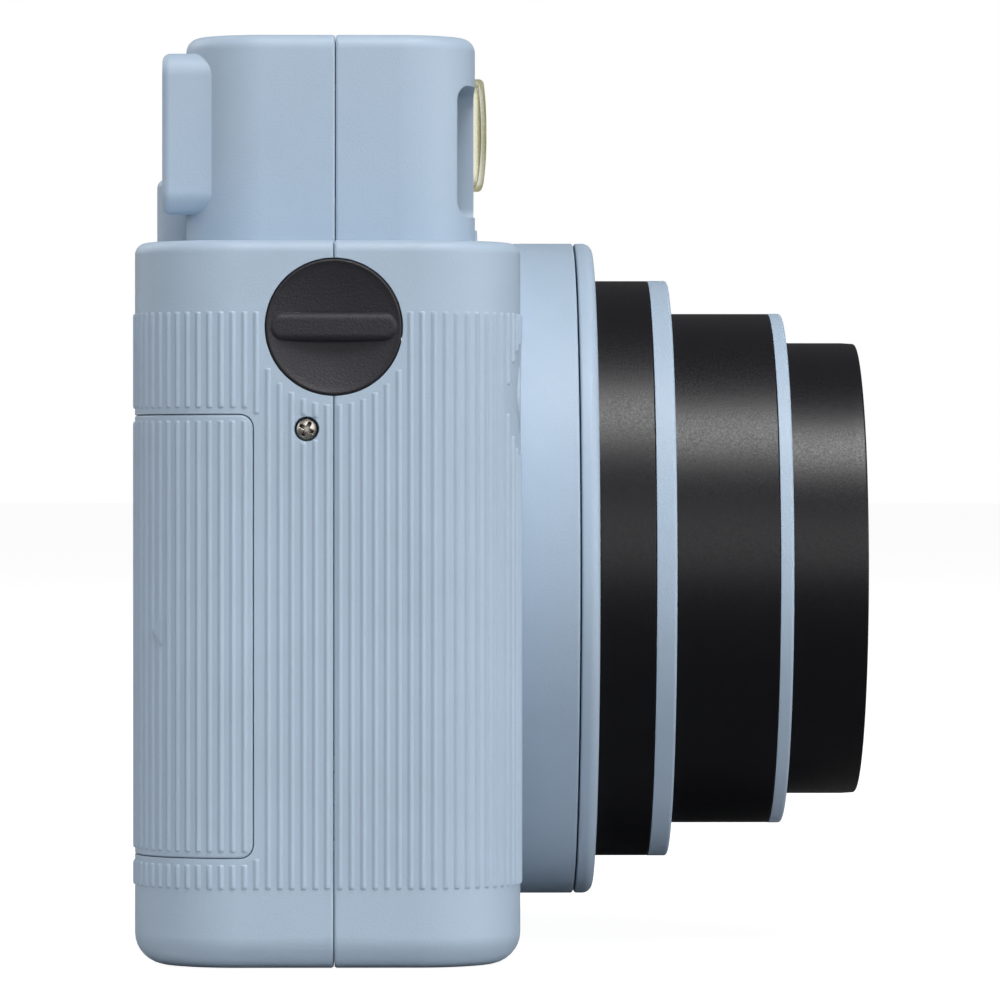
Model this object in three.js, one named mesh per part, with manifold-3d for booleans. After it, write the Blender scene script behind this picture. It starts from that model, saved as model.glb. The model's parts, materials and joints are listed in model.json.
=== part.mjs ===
// Square-format instant camera, millimetres, +Z up.
// The origin is on the flat underside, at mid width and mid thickness of the main body.
// The lens looks along -Y, the operator stands at +Y, and the operator's right hand is at -X.
// The lens is drawn run out, ready for a picture.

import * as THREE from 'three';
import { mergeVertices } from 'three/addons/utils/BufferGeometryUtils.js';
import Module from 'manifold-3d';

const wasm = await Module();
wasm.setup();

// ---------------------------------------------------------------- driving dimensions

const GAP = 0.3;                     // clearance between separate pieces
const SIDE = 65.35;                  // half width of the body
const BACK = 24.5;                   // half thickness of the body
const HEIGHT = 91.5;                 // top of the main body
const CORNER = 13;                   // plan radius of the body's corners
const WALL = 2;                      // shell wall
const BASE_FILLET = 4;
const TOP_FILLET = 1.5;
const SEAM_Y = -0.9;                 // plane where the two shells meet
const SEAM_GAP = 0.3;

const HUMP = { left: -46, right: 30, front: -18.9, back: 18.5, top: 118.6, corner: 10, fillet: 1.8 };
const COUNTER = { left: 2, right: 26, front: 12, back: 23.8, top: 102.3, corner: 4, fillet: 1.2 };
const COLLAR = { radius: 45.6, front: -19.5 };  // low step over the lens on the hump's front

const LENS_Z = 49.6;                 // height of the lens axis
const DRUM_R = 43.8;
const SPIGOT = 40.3;                 // radius of the drum's neck in the front shell
const DRUM_FRONT = -32.7;
const RING_FRONT = -35;
const RING_EDGE = 1.6;
const BARREL_GAP = 0.3;
const BARRELS = [                    // outer radius, front of the black tube, front, length
  { radius: 38.76, black: -42.5, front: -45.1, length: 22.2 },
  { radius: 34.33, black: -58.8, front: -60.5, length: 21 },
  { radius: 30.4, black: -70.5, front: -70.5, length: 17.5 },
];
const BARREL_WALL = 1.6;

const APERTURE = 62;                 // side of the square picture
const FILM_Y = 7.8;                  // plane in which a sheet leaves the pack
const PACK = { left: -42.3, right: 49.3, low: 11.1, high: 88.1, front: 6.1, back: 19.1 };
const SHEET = { long: 86, tall: 72, pile: 5, left: -38.5 };
const EXIT_HEIGHTS = [12, 87];       // ends of the slot that a picture leaves through
const CLAW = { left: -46.3, right: -43.6, low: 20, high: 26, thick: 1.2 };

const CELL = { radius: 7.8, length: 27, x: -54.2, y: 13.8, low: 15.4 };
const BATTERY_DOOR = { front: 9.2, inner: -45, low: 14, high: 69.6, corner: 1.7 };
const COVER = { left: -41.9, low: 6.3, high: 88.2, inside: 22 };
const HINGE = { x: 51.6, y: 23.1, radius: 1.4, pin: 0.6 };

const BUTTON = { x: -51.2, z: 71.6, radius: 4.6, dish: 5.4, seat: 0.3, length: 4.6, flange: 0.6 };
const LUG = { z: 80.6, radius: 8.55, barLength: 16.1, barHeight: 3.6 };
const SCREW = { y: 2.5, z: 67.8, radius: 1.45, head: 0.75, shank: 0.85, length: 3 };

const FLASH = { left: -16, right: 6, low: 99.9, high: 114.9, front: -20.75 };
const SENSOR = { left: 10.5, right: 18.5, low: 104.5, high: 111.5 };
const FINDER = { left: -42.4, right: -20, low: 95.4, high: 112.3, depth: 4 };  // recess at the front
const EYEPIECE = { left: -43.6, right: -18.6, low: 95.5, high: 116.4, back: 21.4, corner: 3 };
const EYE_DEPTH = 0.2;               // how far the eyepiece frame stays behind its block
const SIGHT = { x: -31.1, z: 104.9, width: 16.8, height: 14 };  // axis and size of the finder tunnel

const DIAL = { x: 14, z: 93, radius: 6.3 };
const PANE = { left: 10.5, right: 17.5, low: 93.9, high: 99.1 };  // window over the counter's dial

const MODULE = 0.6;                  // gear module
const ROLLER_X = 55.5;
const ROLLER = { radius: 3.5, shaft: 1.2, low: 15, high: 84.5 };
const TEETH = { roller: 12, idler: 18, pinion: 8 };
const GEAR_LOW = 8.6;
const GEAR_HIGH = 11.6;

// ---------------------------------------------------------------- materials

const finish = (color, roughness, metalness = 0) =>
  new THREE.MeshStandardMaterial({ color, roughness, metalness });
const bluePlastic = () => finish(0x9eafc1, 0.6);
const blackPlastic = () => finish(0x1c1b20, 0.4);
const glossBlack = () => finish(0x101014, 0.15);
const steel = () => finish(0xb8bac0, 0.3, 1);
const brass = () => finish(0xb99a4e, 0.35, 1);
const clearPlastic = () => finish(0xd8d2b4, 0.1);
const lensGlass = () => finish(0x30343f, 0.03);
const boardGreen = () => finish(0x1f5a3a, 0.5);
const cellWrap = () => finish(0x3a5a78, 0.35);
const packGrey = () => finish(0x2a2a2e, 0.5);
const filmWhite = () => finish(0xe8e8e4, 0.6);
const whitePlastic = () => finish(0xdcdcd8, 0.5);
const sealFelt = () => finish(0x18181a, 0.95);

// ---------------------------------------------------------------- solids and booleans

/** Turns a closed three.js geometry into a manifold solid. */
function solid(geometry) {
  const bare = geometry.clone();
  bare.deleteAttribute('normal');
  bare.deleteAttribute('uv');
  const merged = mergeVertices(bare, 1e-4);
  const corners = merged.index.array;
  const kept = [];
  for (let i = 0; i < corners.length; i += 3) {
    const [a, b, c] = [corners[i], corners[i + 1], corners[i + 2]];
    if (a !== b && b !== c && c !== a) kept.push(a, b, c);
  }
  return new wasm.Manifold(new wasm.Mesh({
    numProp: 3,
    vertProperties: Float32Array.from(merged.attributes.position.array),
    triVerts: Uint32Array.from(kept),
  }));
}

/** Turns a manifold solid back into a geometry. */
function geometryOf(body) {
  const mesh = body.getMesh();
  const geometry = new THREE.BufferGeometry();
  geometry.setAttribute('position', new THREE.BufferAttribute(Float32Array.from(mesh.vertProperties), 3));
  geometry.setIndex(new THREE.BufferAttribute(Uint32Array.from(mesh.triVerts), 1));
  return geometry;
}

const join = (first, ...others) => others.reduce((sum, body) => sum.add(body), first);
const cut = (first, ...tools) => tools.reduce((rest, body) => rest.subtract(body), first);

/** Box between two values on each axis. */
function block([x0, x1], [y0, y1], [z0, z1]) {
  const geometry = new THREE.BoxGeometry(x1 - x0, y1 - y0, z1 - z0);
  return solid(geometry.translate((x0 + x1) / 2, (y0 + y1) / 2, (z0 + z1) / 2));
}

/** Upright cylinder (along Z) between two heights. */
function post(x, y, radius, [low, high], segments = 24) {
  const geometry = new THREE.CylinderGeometry(radius, radius, high - low, segments);
  return solid(geometry.rotateX(Math.PI / 2).translate(x, y, (low + high) / 2));
}

/** Cylinder along Y. */
function pegY(x, z, radius, [y0, y1], segments = 24) {
  const geometry = new THREE.CylinderGeometry(radius, radius, y1 - y0, segments);
  return solid(geometry.translate(x, (y0 + y1) / 2, z));
}

/** Cylinder along X. */
function pegX(y, z, radius, [x0, x1], segments = 24) {
  const geometry = new THREE.CylinderGeometry(radius, radius, x1 - x0, segments);
  return solid(geometry.rotateZ(Math.PI / 2).translate((x0 + x1) / 2, y, z));
}

/** Rounded rectangle as a shape; a and b are its two plane axes. */
function roundedRect(a0, a1, b0, b1, radius) {
  const shape = new THREE.Shape();
  shape.moveTo(a0 + radius, b0);
  shape.absarc(a1 - radius, b0 + radius, radius, -Math.PI / 2, 0);
  shape.absarc(a1 - radius, b1 - radius, radius, 0, Math.PI / 2);
  shape.absarc(a0 + radius, b1 - radius, radius, Math.PI / 2, Math.PI);
  shape.absarc(a0 + radius, b0 + radius, radius, Math.PI, Math.PI * 1.5);
  return shape;
}

/** Plan outline (X, Y) raised along Z, with a rounded edge at both ends. */
function raised(shape, [low, high], fillet = 0, curveSegments = 5) {
  const geometry = new THREE.ExtrudeGeometry(shape, {
    depth: high - low - 2 * fillet,
    bevelEnabled: fillet > 0,
    bevelThickness: fillet,
    bevelSize: fillet,
    bevelOffset: -fillet,
    bevelSegments: 2,
    curveSegments,
  });
  return solid(geometry.translate(0, 0, low + fillet));
}

/** Outline in the front view (X, Z), run along Y, with a rounded edge at both ends. */
function facing(shape, [y0, y1], fillet = 0, curveSegments = 2) {
  const geometry = new THREE.ExtrudeGeometry(shape, {
    depth: y1 - y0 - 2 * fillet,
    bevelEnabled: fillet > 0,
    bevelThickness: fillet,
    bevelSize: fillet,
    bevelOffset: -fillet,
    bevelSegments: 1,
    curveSegments,
  });
  return solid(geometry.rotateX(Math.PI / 2).translate(0, y1 - fillet, 0));
}

/** Outline in the side view (Y, Z), run along X. */
function sideways(shape, [x0, x1], curveSegments = 3) {
  const geometry = new THREE.ExtrudeGeometry(shape, { depth: x1 - x0, bevelEnabled: false, curveSegments });
  const turn = new THREE.Matrix4().makeBasis(
    new THREE.Vector3(0, 1, 0), new THREE.Vector3(0, 0, 1), new THREE.Vector3(1, 0, 0));
  return solid(geometry.applyMatrix4(turn).translate(x0, 0, 0));
}

/** Body of revolution about the lens axis (Y) from a closed profile of [radius, y] points. */
function turned(profile, segments = 40) {
  const points = profile.map(([radius, y]) => new THREE.Vector2(radius, y));
  const rising = THREE.ShapeUtils.area(points) > 0 ? points : points.reverse();
  if (rising[0].x > 0) rising.push(rising[0].clone());
  return solid(new THREE.LatheGeometry(rising, segments));
}

/** Ring about the lens axis with a rounded outer front edge. */
function roundedRing(outer, inner, front, back, edge) {
  const profile = [[inner, front], [inner, back], [outer, back]];
  const steps = 2;
  for (let i = 0; i <= steps; i += 1) {
    const angle = (Math.PI / 2) * (i / steps);
    profile.push([outer - edge + edge * Math.cos(angle), front + edge - edge * Math.sin(angle)]);
  }
  return turned(profile);
}

const parts = new THREE.Group();
const lens = new THREE.Group();
lens.position.z = LENS_Z;
parts.add(lens);

/** Adds a solid as a named mesh to a group. */
function place(name, body, material, group = parts) {
  const mesh = new THREE.Mesh(geometryOf(body), material);
  mesh.name = name;
  group.add(mesh);
  return mesh;
}

// ---------------------------------------------------------------- shells

const bodyPlan = (inset) =>
  roundedRect(-SIDE + inset, SIDE - inset, -BACK + inset, BACK - inset, CORNER - inset);
const humpPlan = (inset) => roundedRect(HUMP.left + inset, HUMP.right - inset,
  HUMP.front + inset, HUMP.back - inset, HUMP.corner - inset);
const counterPlan = (inset) => roundedRect(COUNTER.left + inset, COUNTER.right - inset,
  COUNTER.front + inset, COUNTER.back - inset, COUNTER.corner - inset);

/** The whole outside of the camera without the lens. */
function outside() {
  const overrun = 20;
  const slab = raised(bodyPlan(0), [0, HEIGHT + overrun], BASE_FILLET)
    .intersect(raised(bodyPlan(-GAP), [-overrun, HEIGHT], TOP_FILLET + GAP));
  const hump = raised(humpPlan(0), [HEIGHT - 10, HUMP.top], HUMP.fillet);
  const counter = raised(counterPlan(0), [HEIGHT - 6, COUNTER.top], COUNTER.fillet);
  const { left, right, low, high, back, corner } = EYEPIECE;
  const eyepiece = facing(roundedRect(left, right, low, high, corner), [HUMP.back / 2, back], 1, 3);
  const collar = pegY(0, LENS_Z, COLLAR.radius, [COLLAR.front, HUMP.front + 1], 40)
    .intersect(block([-SIDE, SIDE], [-BACK, BACK], [HEIGHT - 0.5, HUMP.top]));
  return join(slab, hump, counter, eyepiece, collar);
}

/** The hollow inside the shells. */
function inside() {
  const slab = raised(bodyPlan(WALL), [WALL, HEIGHT - WALL]);
  const hump = raised(humpPlan(WALL), [HEIGHT - 8, HUMP.top - WALL]);
  const counter = raised(counterPlan(WALL), [HEIGHT - 5, COUNTER.top - WALL]);
  return join(slab, hump, counter);
}

/** The battery door's outline, larger by some clearance, as a cutter through the rear right corner. */
function batteryDoorZone(clearance) {
  const { front, inner, low, high, corner } = BATTERY_DOOR;
  const overrun = 5;
  const sideView = roundedRect(front - clearance, BACK + overrun, low - clearance, high + clearance, corner);
  return sideways(sideView, [-SIDE - overrun, inner + clearance]);
}

/** The back cover's opening, larger than the cover by some clearance. */
function coverZone(clearance) {
  const right = HINGE.x + HINGE.radius + clearance;
  const heights = [COVER.low - clearance, COVER.high + clearance];
  const depths = [COVER.inside - 2, BACK + 5];
  const main = facing(roundedRect(COVER.left - clearance, right, ...heights, 1.5), depths);
  return main.add(block([HINGE.x - 4, right], depths, heights));
}

/** Opening at the front of the hump, at its rounded corner, for the viewfinder's front window. */
function finderRecess(clearance) {
  const { left, right, low, high, depth } = FINDER;
  const shape = roundedRect(left + clearance, right - clearance, low + clearance, high - clearance, 2);
  return facing(shape, [HUMP.front - 5, HUMP.front + depth - clearance]);
}

/** Rounded opening in the front view around a rectangle such as FLASH or SENSOR. */
const frontHole = ({ left, right, low, high }, clearance, depths) =>
  facing(roundedRect(left - clearance, right + clearance, low - clearance, high + clearance, 1.5), depths);

/** Rounded rectangle around the viewfinder's axis, larger or smaller than its tunnel. */
const sightZone = (growth, depths) => facing(roundedRect(
  SIGHT.x - SIGHT.width / 2 - growth, SIGHT.x + SIGHT.width / 2 + growth,
  SIGHT.z - SIGHT.height / 2 - growth, SIGHT.z + SIGHT.height / 2 + growth, 2), depths);

/** Openings through one side wall for a strap lug, and for a case screw with its sunk head. */
function sideHoles(side) {
  const through = [side - 4, side + 4];
  const sunk = [side - SCREW.head - 0.15, side + SCREW.head + 0.15];
  return [
    pegX(SEAM_Y, LUG.z, LUG.radius + 0.2, through, 24),
    pegX(SCREW.y, SCREW.z, SCREW.shank + 0.2, through, 12),
    pegX(SCREW.y, SCREW.z, SCREW.radius + 0.1, sunk, 16),
  ];
}

/** Block with the outline of the film counter's window, larger by some clearance. */
const counterPane = (clearance, depths) => block([PANE.left - clearance, PANE.right + clearance], depths,
  [PANE.low - clearance, PANE.high + clearance]);

/** Both shells in one piece, with every opening cut. */
function hollowBody() {
  const hole = [
    pegY(0, LENS_Z, SPIGOT + GAP, [-BACK - 1, -BACK + WALL + 1], 40),
    pegY(BUTTON.x, BUTTON.z, BUTTON.radius + GAP, [-BACK - 1, -BACK + 8]),
    pegY(BUTTON.x, BUTTON.z, BUTTON.dish, [-BACK - 2, -BACK + BUTTON.seat]),
    finderRecess(0),
    frontHole(FLASH, 0, [HUMP.front - 2, HUMP.front + WALL + 1]),
    frontHole(SENSOR, 0, [HUMP.front - 2, HUMP.front + WALL + 1]),
    sightZone(0.2, [HUMP.back - WALL - 2, EYEPIECE.back + 1]),
    batteryDoorZone(0.2),
    coverZone(GAP + 0.1),
    block([SIDE - 4, SIDE + 1], [FILM_Y - 1, FILM_Y + 1], EXIT_HEIGHTS),
    counterPane(GAP, [COUNTER.back - WALL - 1, BACK + 1]),
    ...sideHoles(-SIDE),
    ...sideHoles(SIDE),
    post(HINGE.x, HINGE.y, HINGE.pin + 0.1, [3.5, 90.5], 12),
  ];
  return cut(outside().subtract(inside()), ...hole);
}

function addShells() {
  const reach = 200;
  const whole = hollowBody();
  const front = whole.intersect(block([-reach, reach], [-reach, SEAM_Y - SEAM_GAP / 2], [-reach, reach]));
  const rear = whole.intersect(block([-reach, reach], [SEAM_Y + SEAM_GAP / 2, reach], [-reach, reach]));
  place('front_shell', front, bluePlastic());
  place('rear_shell', rear, bluePlastic());
}

// ---------------------------------------------------------------- lens

function addLensDrum() {
  const bore = BARRELS[0].radius + BARREL_GAP;
  const profile = [[bore, DRUM_FRONT + GAP], [bore, -BACK + 3], [SPIGOT, -BACK + 3],
    [SPIGOT, -BACK - GAP], [DRUM_R, -BACK - GAP], [DRUM_R, DRUM_FRONT + GAP]];
  place('lens_drum', turned(profile), bluePlastic(), lens);
  place('lens_ring', roundedRing(DRUM_R, bore, RING_FRONT, DRUM_FRONT, RING_EDGE), bluePlastic(), lens);
}

/** Black tube with a guide flange at its back, and for two of them a blue ring at the front. */
function addBarrels() {
  BARRELS.forEach(({ radius, black, front, length }, index) => {
    const bore = radius - BARREL_WALL;
    const back = front + length;
    const outer = BARRELS[index - 1];
    const name = `barrel_${index + 1}`;
    const hasRing = black !== front;
    const start = hasRing ? black + 0.05 : front;
    let tube = hasRing
      ? turned([[bore, start], [bore, back], [radius, back], [radius, start]])
      : roundedRing(radius, bore, start, back, 1.2);
    if (outer) {
      const flange = outer.radius - BARREL_WALL - 0.25;
      const root = radius - 0.4;
      tube = tube.add(turned([[root, back - 2.2], [flange, back - 2.2], [flange, back], [root, back]]));
    }
    place(name, tube, blackPlastic(), lens);
    if (hasRing) {
      const mouth = BARRELS[index + 1].radius + BARREL_GAP;
      place(`${name}_ring`, roundedRing(radius, mouth, front, black - 0.05, 1), bluePlastic(), lens);
    }
  });
}

const GLASS_R = 11.6;

/** Lens from its edge radius, edge planes and how far each side bulges. */
function lensProfile(radius, front, back, frontBulge, backBulge) {
  const steps = 3;
  const profile = [];
  for (let i = 0; i <= steps; i += 1) {
    const r = (radius * i) / steps;
    profile.push([r, front - frontBulge * (1 - (r / radius) ** 2)]);
  }
  for (let i = steps; i >= 0; i -= 1) {
    const r = (radius * i) / steps;
    profile.push([r, back + backBulge * (1 - (r / radius) ** 2)]);
  }
  return profile;
}

/** A lathe profile that begins and ends on the axis. */
function turnedOnAxis(profile, segments) {
  const points = profile.map(([radius, y]) => new THREE.Vector2(radius, y));
  if (THREE.ShapeUtils.area(points) < 0) points.reverse();
  return solid(new THREE.LatheGeometry(points, segments));
}

/** Everything the third barrel carries. */
function addLensHead() {
  const bore = BARRELS[2].radius - BARREL_WALL - 0.05;
  const front = BARRELS[2].front;
  const plateY = front + 10;
  const face = turned([[12, front + 3.6], [12.6, front + 4.6], [bore - GAP, front + 4.6],
    [bore - GAP, front + 1.4], [bore - 2, front + 1.4]], 32);
  const mirrorSpot = { x: 18.5, z: 11 };
  const mirrorSeat = pegY(mirrorSpot.x, mirrorSpot.z, 4.6, [front, front + 3.4], 16);
  place('lens_face', face.subtract(mirrorSeat), glossBlack(), lens);
  const mirror = pegY(mirrorSpot.x, mirrorSpot.z, 4.3, [front + 1.7, front + 3.1], 20);
  place('selfie_mirror', mirror, steel(), lens);
  place('lens_cell', turned([[GLASS_R + GAP, front + 4.9], [GLASS_R + GAP, plateY - 1.9],
    [14, plateY - 1.9], [14, front + 4.9]], 24), blackPlastic(), lens);
  place('front_lens', turnedOnAxis(lensProfile(GLASS_R, front + 4.2, front + 6, 1.6, 0.3), 24),
    lensGlass(), lens);
  const plate = pegY(0, 0, bore - GAP, [plateY, plateY + 1.4], 32);
  place('shutter_plate', cut(plate, pegY(0, 0, 5, [plateY - 1, plateY + 3], 20)), blackPlastic(), lens);
  const rearLens = turnedOnAxis(lensProfile(9, plateY + 2.4, plateY + 3.6, 0.5, 1.2), 20);
  place('rear_lens', rearLens, lensGlass(), lens);
  addShutterBlade(plateY);
}

/** Blade that covers the aperture and swings about a pivot beside it. */
function addShutterBlade(plateY) {
  const pivot = { x: 9.4, z: 0 };
  const blade = new THREE.Shape();
  blade.absarc(0, 0, 6.4, Math.PI / 4, Math.PI * 1.75);
  blade.absarc(pivot.x, pivot.z, 2.4, -Math.PI / 2, Math.PI / 2);
  const sheet = facing(blade, [plateY - 1.2, plateY - 0.5], 0, 8);
  place('shutter_blade', sheet, steel(), lens);
}

// ---------------------------------------------------------------- front: button, flash, viewfinder

function addShutterButton() {
  const { x, z, radius, length, flange } = BUTTON;
  const backFace = -BACK + length + 0.8;
  const cap = pegY(x, z, radius, [-BACK, -BACK + length]);
  const rim = pegY(x, z, radius + flange, [backFace - 1, backFace]);
  place('shutter_button', cap.add(rim), bluePlastic());
  const switchFront = backFace + 1.5;
  place('shutter_switch', block([x - 2, x + 2], [switchFront, -0.2], [z - 1.6, z + 1.6]), blackPlastic());
}

function addFlash() {
  const { left, right, low, high, front } = FLASH;
  const seat = HUMP.front + WALL;
  const paneShape = roundedRect(left + GAP, right - GAP, low + GAP, high - GAP, 2);
  place('flash_window', facing(paneShape, [front, seat - 0.2], 1, 3), clearPlastic());
  place('sensor_window', frontHole(SENSOR, -GAP, [HUMP.front + 0.3, seat - 0.2]), glossBlack());
  const reflector = cut(block([left + 1, right - 1], [seat + 0.3, seat + 8], [low + 1, high - 1]),
    block([left + 2.4, right - 2.4], [seat, seat + 6.8], [low + 2.4, high - 2.4]));
  place('flash_reflector', reflector, steel());
  const tubeY = seat + 4.2;
  const tubeZ = (low + high) / 2;
  place('flash_tube', pegX(tubeY, tubeZ, 1.2, [left + 2.7, right - 2.7], 12), lensGlass());
}

function addViewfinder() {
  const paneFront = HUMP.front + 2.3;
  const behindPane = block([-SIDE, SIDE], [paneFront, BACK], [HEIGHT, HUMP.top]);
  place('finder_front_lens', finderRecess(GAP).intersect(behindPane), lensGlass());
  const bore = sightZone(-1.6, [-BACK, BACK]);
  const tunnelFront = HUMP.front + FINDER.depth + GAP;
  place('finder_tunnel', sightZone(0, [tunnelFront, HUMP.back - WALL - 1.1]).subtract(bore), blackPlastic());
  const frame = sightZone(-0.1, [HUMP.back - WALL, EYEPIECE.back - EYE_DEPTH]);
  const opening = sightZone(-2, [-BACK, BACK + 5]);
  const seat = sightZone(-0.8, [HUMP.back - 0.3, HUMP.back + 2]);
  place('eyepiece_frame', cut(frame, opening, seat.intersect(block([-SIDE, SIDE], [0, BACK], [0, 200]))),
    blackPlastic());
  place('eyepiece_lens', sightZone(-1.1, [HUMP.back, HUMP.back + 1.7]), lensGlass());
}

// ---------------------------------------------------------------- film

function addFilm() {
  const { left, right, low, high, front, back } = PACK;
  const half = APERTURE / 2;
  const window = block([-half, half], [front - 1, front + 2], [LENS_Z - half, LENS_Z + half]);
  const room = block([left + 1.5, right - 1.5], [front + 1.2, back - 1.2], [low + 1.5, high - 1.5]);
  const exit = block([right - 3, right + 1], [FILM_Y - 0.5, FILM_Y + 0.5], [low + 2, high - 2]);
  const clawSlot = block([left - 1, left + 3], [front - 1, FILM_Y + 0.9], [CLAW.low - 0.5, CLAW.high + 0.5]);
  const pack = cut(block([left, right], [front, back], [low, high]), window, room, exit, clawSlot);
  place('film_pack', pack, packGrey());
  const sheetLow = LENS_Z - SHEET.tall / 2;
  place('film_sheets', block([SHEET.left, SHEET.left + SHEET.long],
    [FILM_Y - 0.2, FILM_Y - 0.2 + SHEET.pile], [sheetLow, sheetLow + SHEET.tall]), filmWhite());
  addFilmClaw();
  addFilmChamber();
}

/** Bent strip whose tip goes into the pack and pushes the front sheet out. */
function addFilmClaw() {
  const { left, right, low, high, thick } = CLAW;
  const footY = -3;
  const arm = block([left, left + thick], [footY, FILM_Y + 0.4], [low, high]);
  const tip = block([left, right], [FILM_Y - 0.3, FILM_Y + 0.4], [low, high]);
  const foot = block([left, right + 3], [footY, footY + thick], [low, high]);
  place('film_claw', join(arm, tip, foot), steel());
}

/** Frame that the film pack rests against, with the light tunnel behind the lens. */
function addFilmChamber() {
  const half = APERTURE / 2;
  const wall = 2;
  const outer = half + 2 * wall;
  const inner = half + wall;
  const plate = block([PACK.left, PACK.right + 0.7], [3.7, 5.7], [8, 88.6]);
  const tunnel = block([-outer, outer], [-9, 4], [LENS_Z - outer, LENS_Z + outer]);
  const bore = block([-inner, inner], [-12, 3.7], [LENS_Z - inner, LENS_Z + inner]);
  const window = block([-half, half], [0, 9], [LENS_Z - half, LENS_Z + half]);
  const clawRoom = block([PACK.left - 1, PACK.left + 4.8], [3, 6], [CLAW.low - 1, CLAW.high + 1]);
  place('film_chamber', cut(plate.add(tunnel), bore, window, clawRoom), blackPlastic());
}

/** Cover of the film compartment with its hinge barrel, window, spring and latch. */
function addBackCover() {
  const { left, low, high, inside: inner } = COVER;
  const sheet = facing(roundedRect(left, HINGE.x, low, high, 1.4), [inner, BACK]);
  const straight = block([HINGE.x - 4, HINGE.x], [inner, BACK], [low, high]);
  const barrel = post(HINGE.x, HINGE.y, HINGE.radius, [low, high], 20);
  const bore = post(HINGE.x, HINGE.y, HINGE.pin + 0.1, [low - 1, high + 1], 12);
  const windowHole = block([-30.3, -21.7], [inner - 1, BACK + 1], [37.7, 60.3]);
  const latchRoom = block([-40.3, -35.7], [BACK - 1.5, BACK + 1], [38, 62]);
  const cover = cut(join(sheet, straight, barrel), bore, windowHole, latchRoom);
  place('back_cover', cover, bluePlastic());
  place('film_window', block([-30, -22], [inner + 0.4, BACK - 0.4], [38, 60]), clearPlastic());
  const latch = facing(roundedRect(-40, -36, 40, 54, 1.6), [BACK - 1.2, BACK + 0.4], 0.3);
  place('door_latch', latch, bluePlastic());
  place('hinge_pin', post(HINGE.x, HINGE.y, HINGE.pin, [4, 90], 12), steel());
  addPressureSpring(inner);
}

/** Leaf spring riveted to the cover that presses the film pack forwards. */
function addPressureSpring(inner) {
  const leaf = new THREE.Shape();
  const reach = 26;
  const thick = 0.5;
  const bow = 1.6;
  leaf.moveTo(-reach, inner - GAP);
  leaf.quadraticCurveTo(0, inner - GAP - 2 * bow, reach, inner - GAP);
  leaf.lineTo(reach, inner - GAP - thick);
  leaf.quadraticCurveTo(0, inner - GAP - 2 * bow - thick, -reach, inner - GAP - thick);
  place('pressure_spring', raised(leaf, [42, 57], 0, 8), steel());
}

// ---------------------------------------------------------------- film transport

/** Spur gear outline with straight-flanked teeth; toothAngle is where one tooth points. */
function gearShape(teeth, toothAngle, boreRadius) {
  const pitch = (MODULE * teeth) / 2;
  const tip = pitch + 0.8 * MODULE;
  const root = pitch - MODULE;
  const step = (2 * Math.PI) / teeth;
  const shape = new THREE.Shape();
  for (let i = 0; i < teeth; i += 1) {
    const centre = toothAngle + i * step;
    const flank = [[root, -0.32], [tip, -0.13], [tip, 0.13], [root, 0.32]];
    flank.forEach(([radius, turn], corner) => {
      const angle = centre + turn * step;
      const point = [radius * Math.cos(angle), radius * Math.sin(angle)];
      if (i === 0 && corner === 0) shape.moveTo(...point);
      else shape.lineTo(...point);
    });
  }
  if (boreRadius > 0) {
    const bore = new THREE.Path();
    bore.absarc(0, 0, boreRadius, 0, 2 * Math.PI, true);
    shape.holes.push(bore);
  }
  return shape;
}

const pitchRadius = (teeth) => (MODULE * teeth) / 2;
const QUARTER = Math.PI / 2;
const frontRollerY = FILM_Y - pitchRadius(TEETH.roller);
const rearRollerY = FILM_Y + pitchRadius(TEETH.roller);
const idlerY = frontRollerY - pitchRadius(TEETH.roller) - pitchRadius(TEETH.idler);
const pinionY = idlerY - pitchRadius(TEETH.idler) - pitchRadius(TEETH.pinion);

function addRoller(name, y, toothAngle) {
  const { radius, shaft, low, high } = ROLLER;
  const drive = new THREE.Group();
  drive.position.set(ROLLER_X, y, 0);
  parts.add(drive);
  const drum = post(0, 0, radius, [low, high], 20);
  const axle = post(0, 0, shaft, [GEAR_LOW - 1, 87], 12);
  place(name, drum.add(axle), steel(), drive);
  const gear = raised(gearShape(TEETH.roller, toothAngle, shaft + 0.1), [GEAR_LOW, GEAR_HIGH], 0, 6);
  place(`${name}_gear`, gear, whitePlastic(), drive);
}

function addTransport() {
  addRoller('front_roller', frontRollerY, -QUARTER + Math.PI / TEETH.roller);
  addRoller('rear_roller', rearRollerY, -QUARTER);
  const idler = raised(gearShape(TEETH.idler, QUARTER, 0), [GEAR_LOW, GEAR_HIGH])
    .add(post(0, 0, 1, [GEAR_HIGH - 1, 13.8], 10));
  place('reduction_gear', idler, whitePlastic()).position.set(ROLLER_X, idlerY, 0);
  const pinion = raised(gearShape(TEETH.pinion, QUARTER + Math.PI / TEETH.pinion, 0), [GEAR_LOW, GEAR_HIGH])
    .add(post(0, 0, 1, [GEAR_HIGH - 1, 14], 10));
  place('motor_pinion', pinion, brass()).position.set(ROLLER_X, pinionY, 0);
  place('eject_motor', post(ROLLER_X, pinionY, 7, [14.6, 44], 20), steel());
  addRollerBracket();
  const sealFace = SIDE - WALL - GAP;
  const sealHeights = [EXIT_HEIGHTS[0] + 1, EXIT_HEIGHTS[1] - 1];
  place('slot_seal', block([sealFace - 1, sealFace], [FILM_Y + 0.9, FILM_Y + 3], sealHeights), sealFelt());
}

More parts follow.
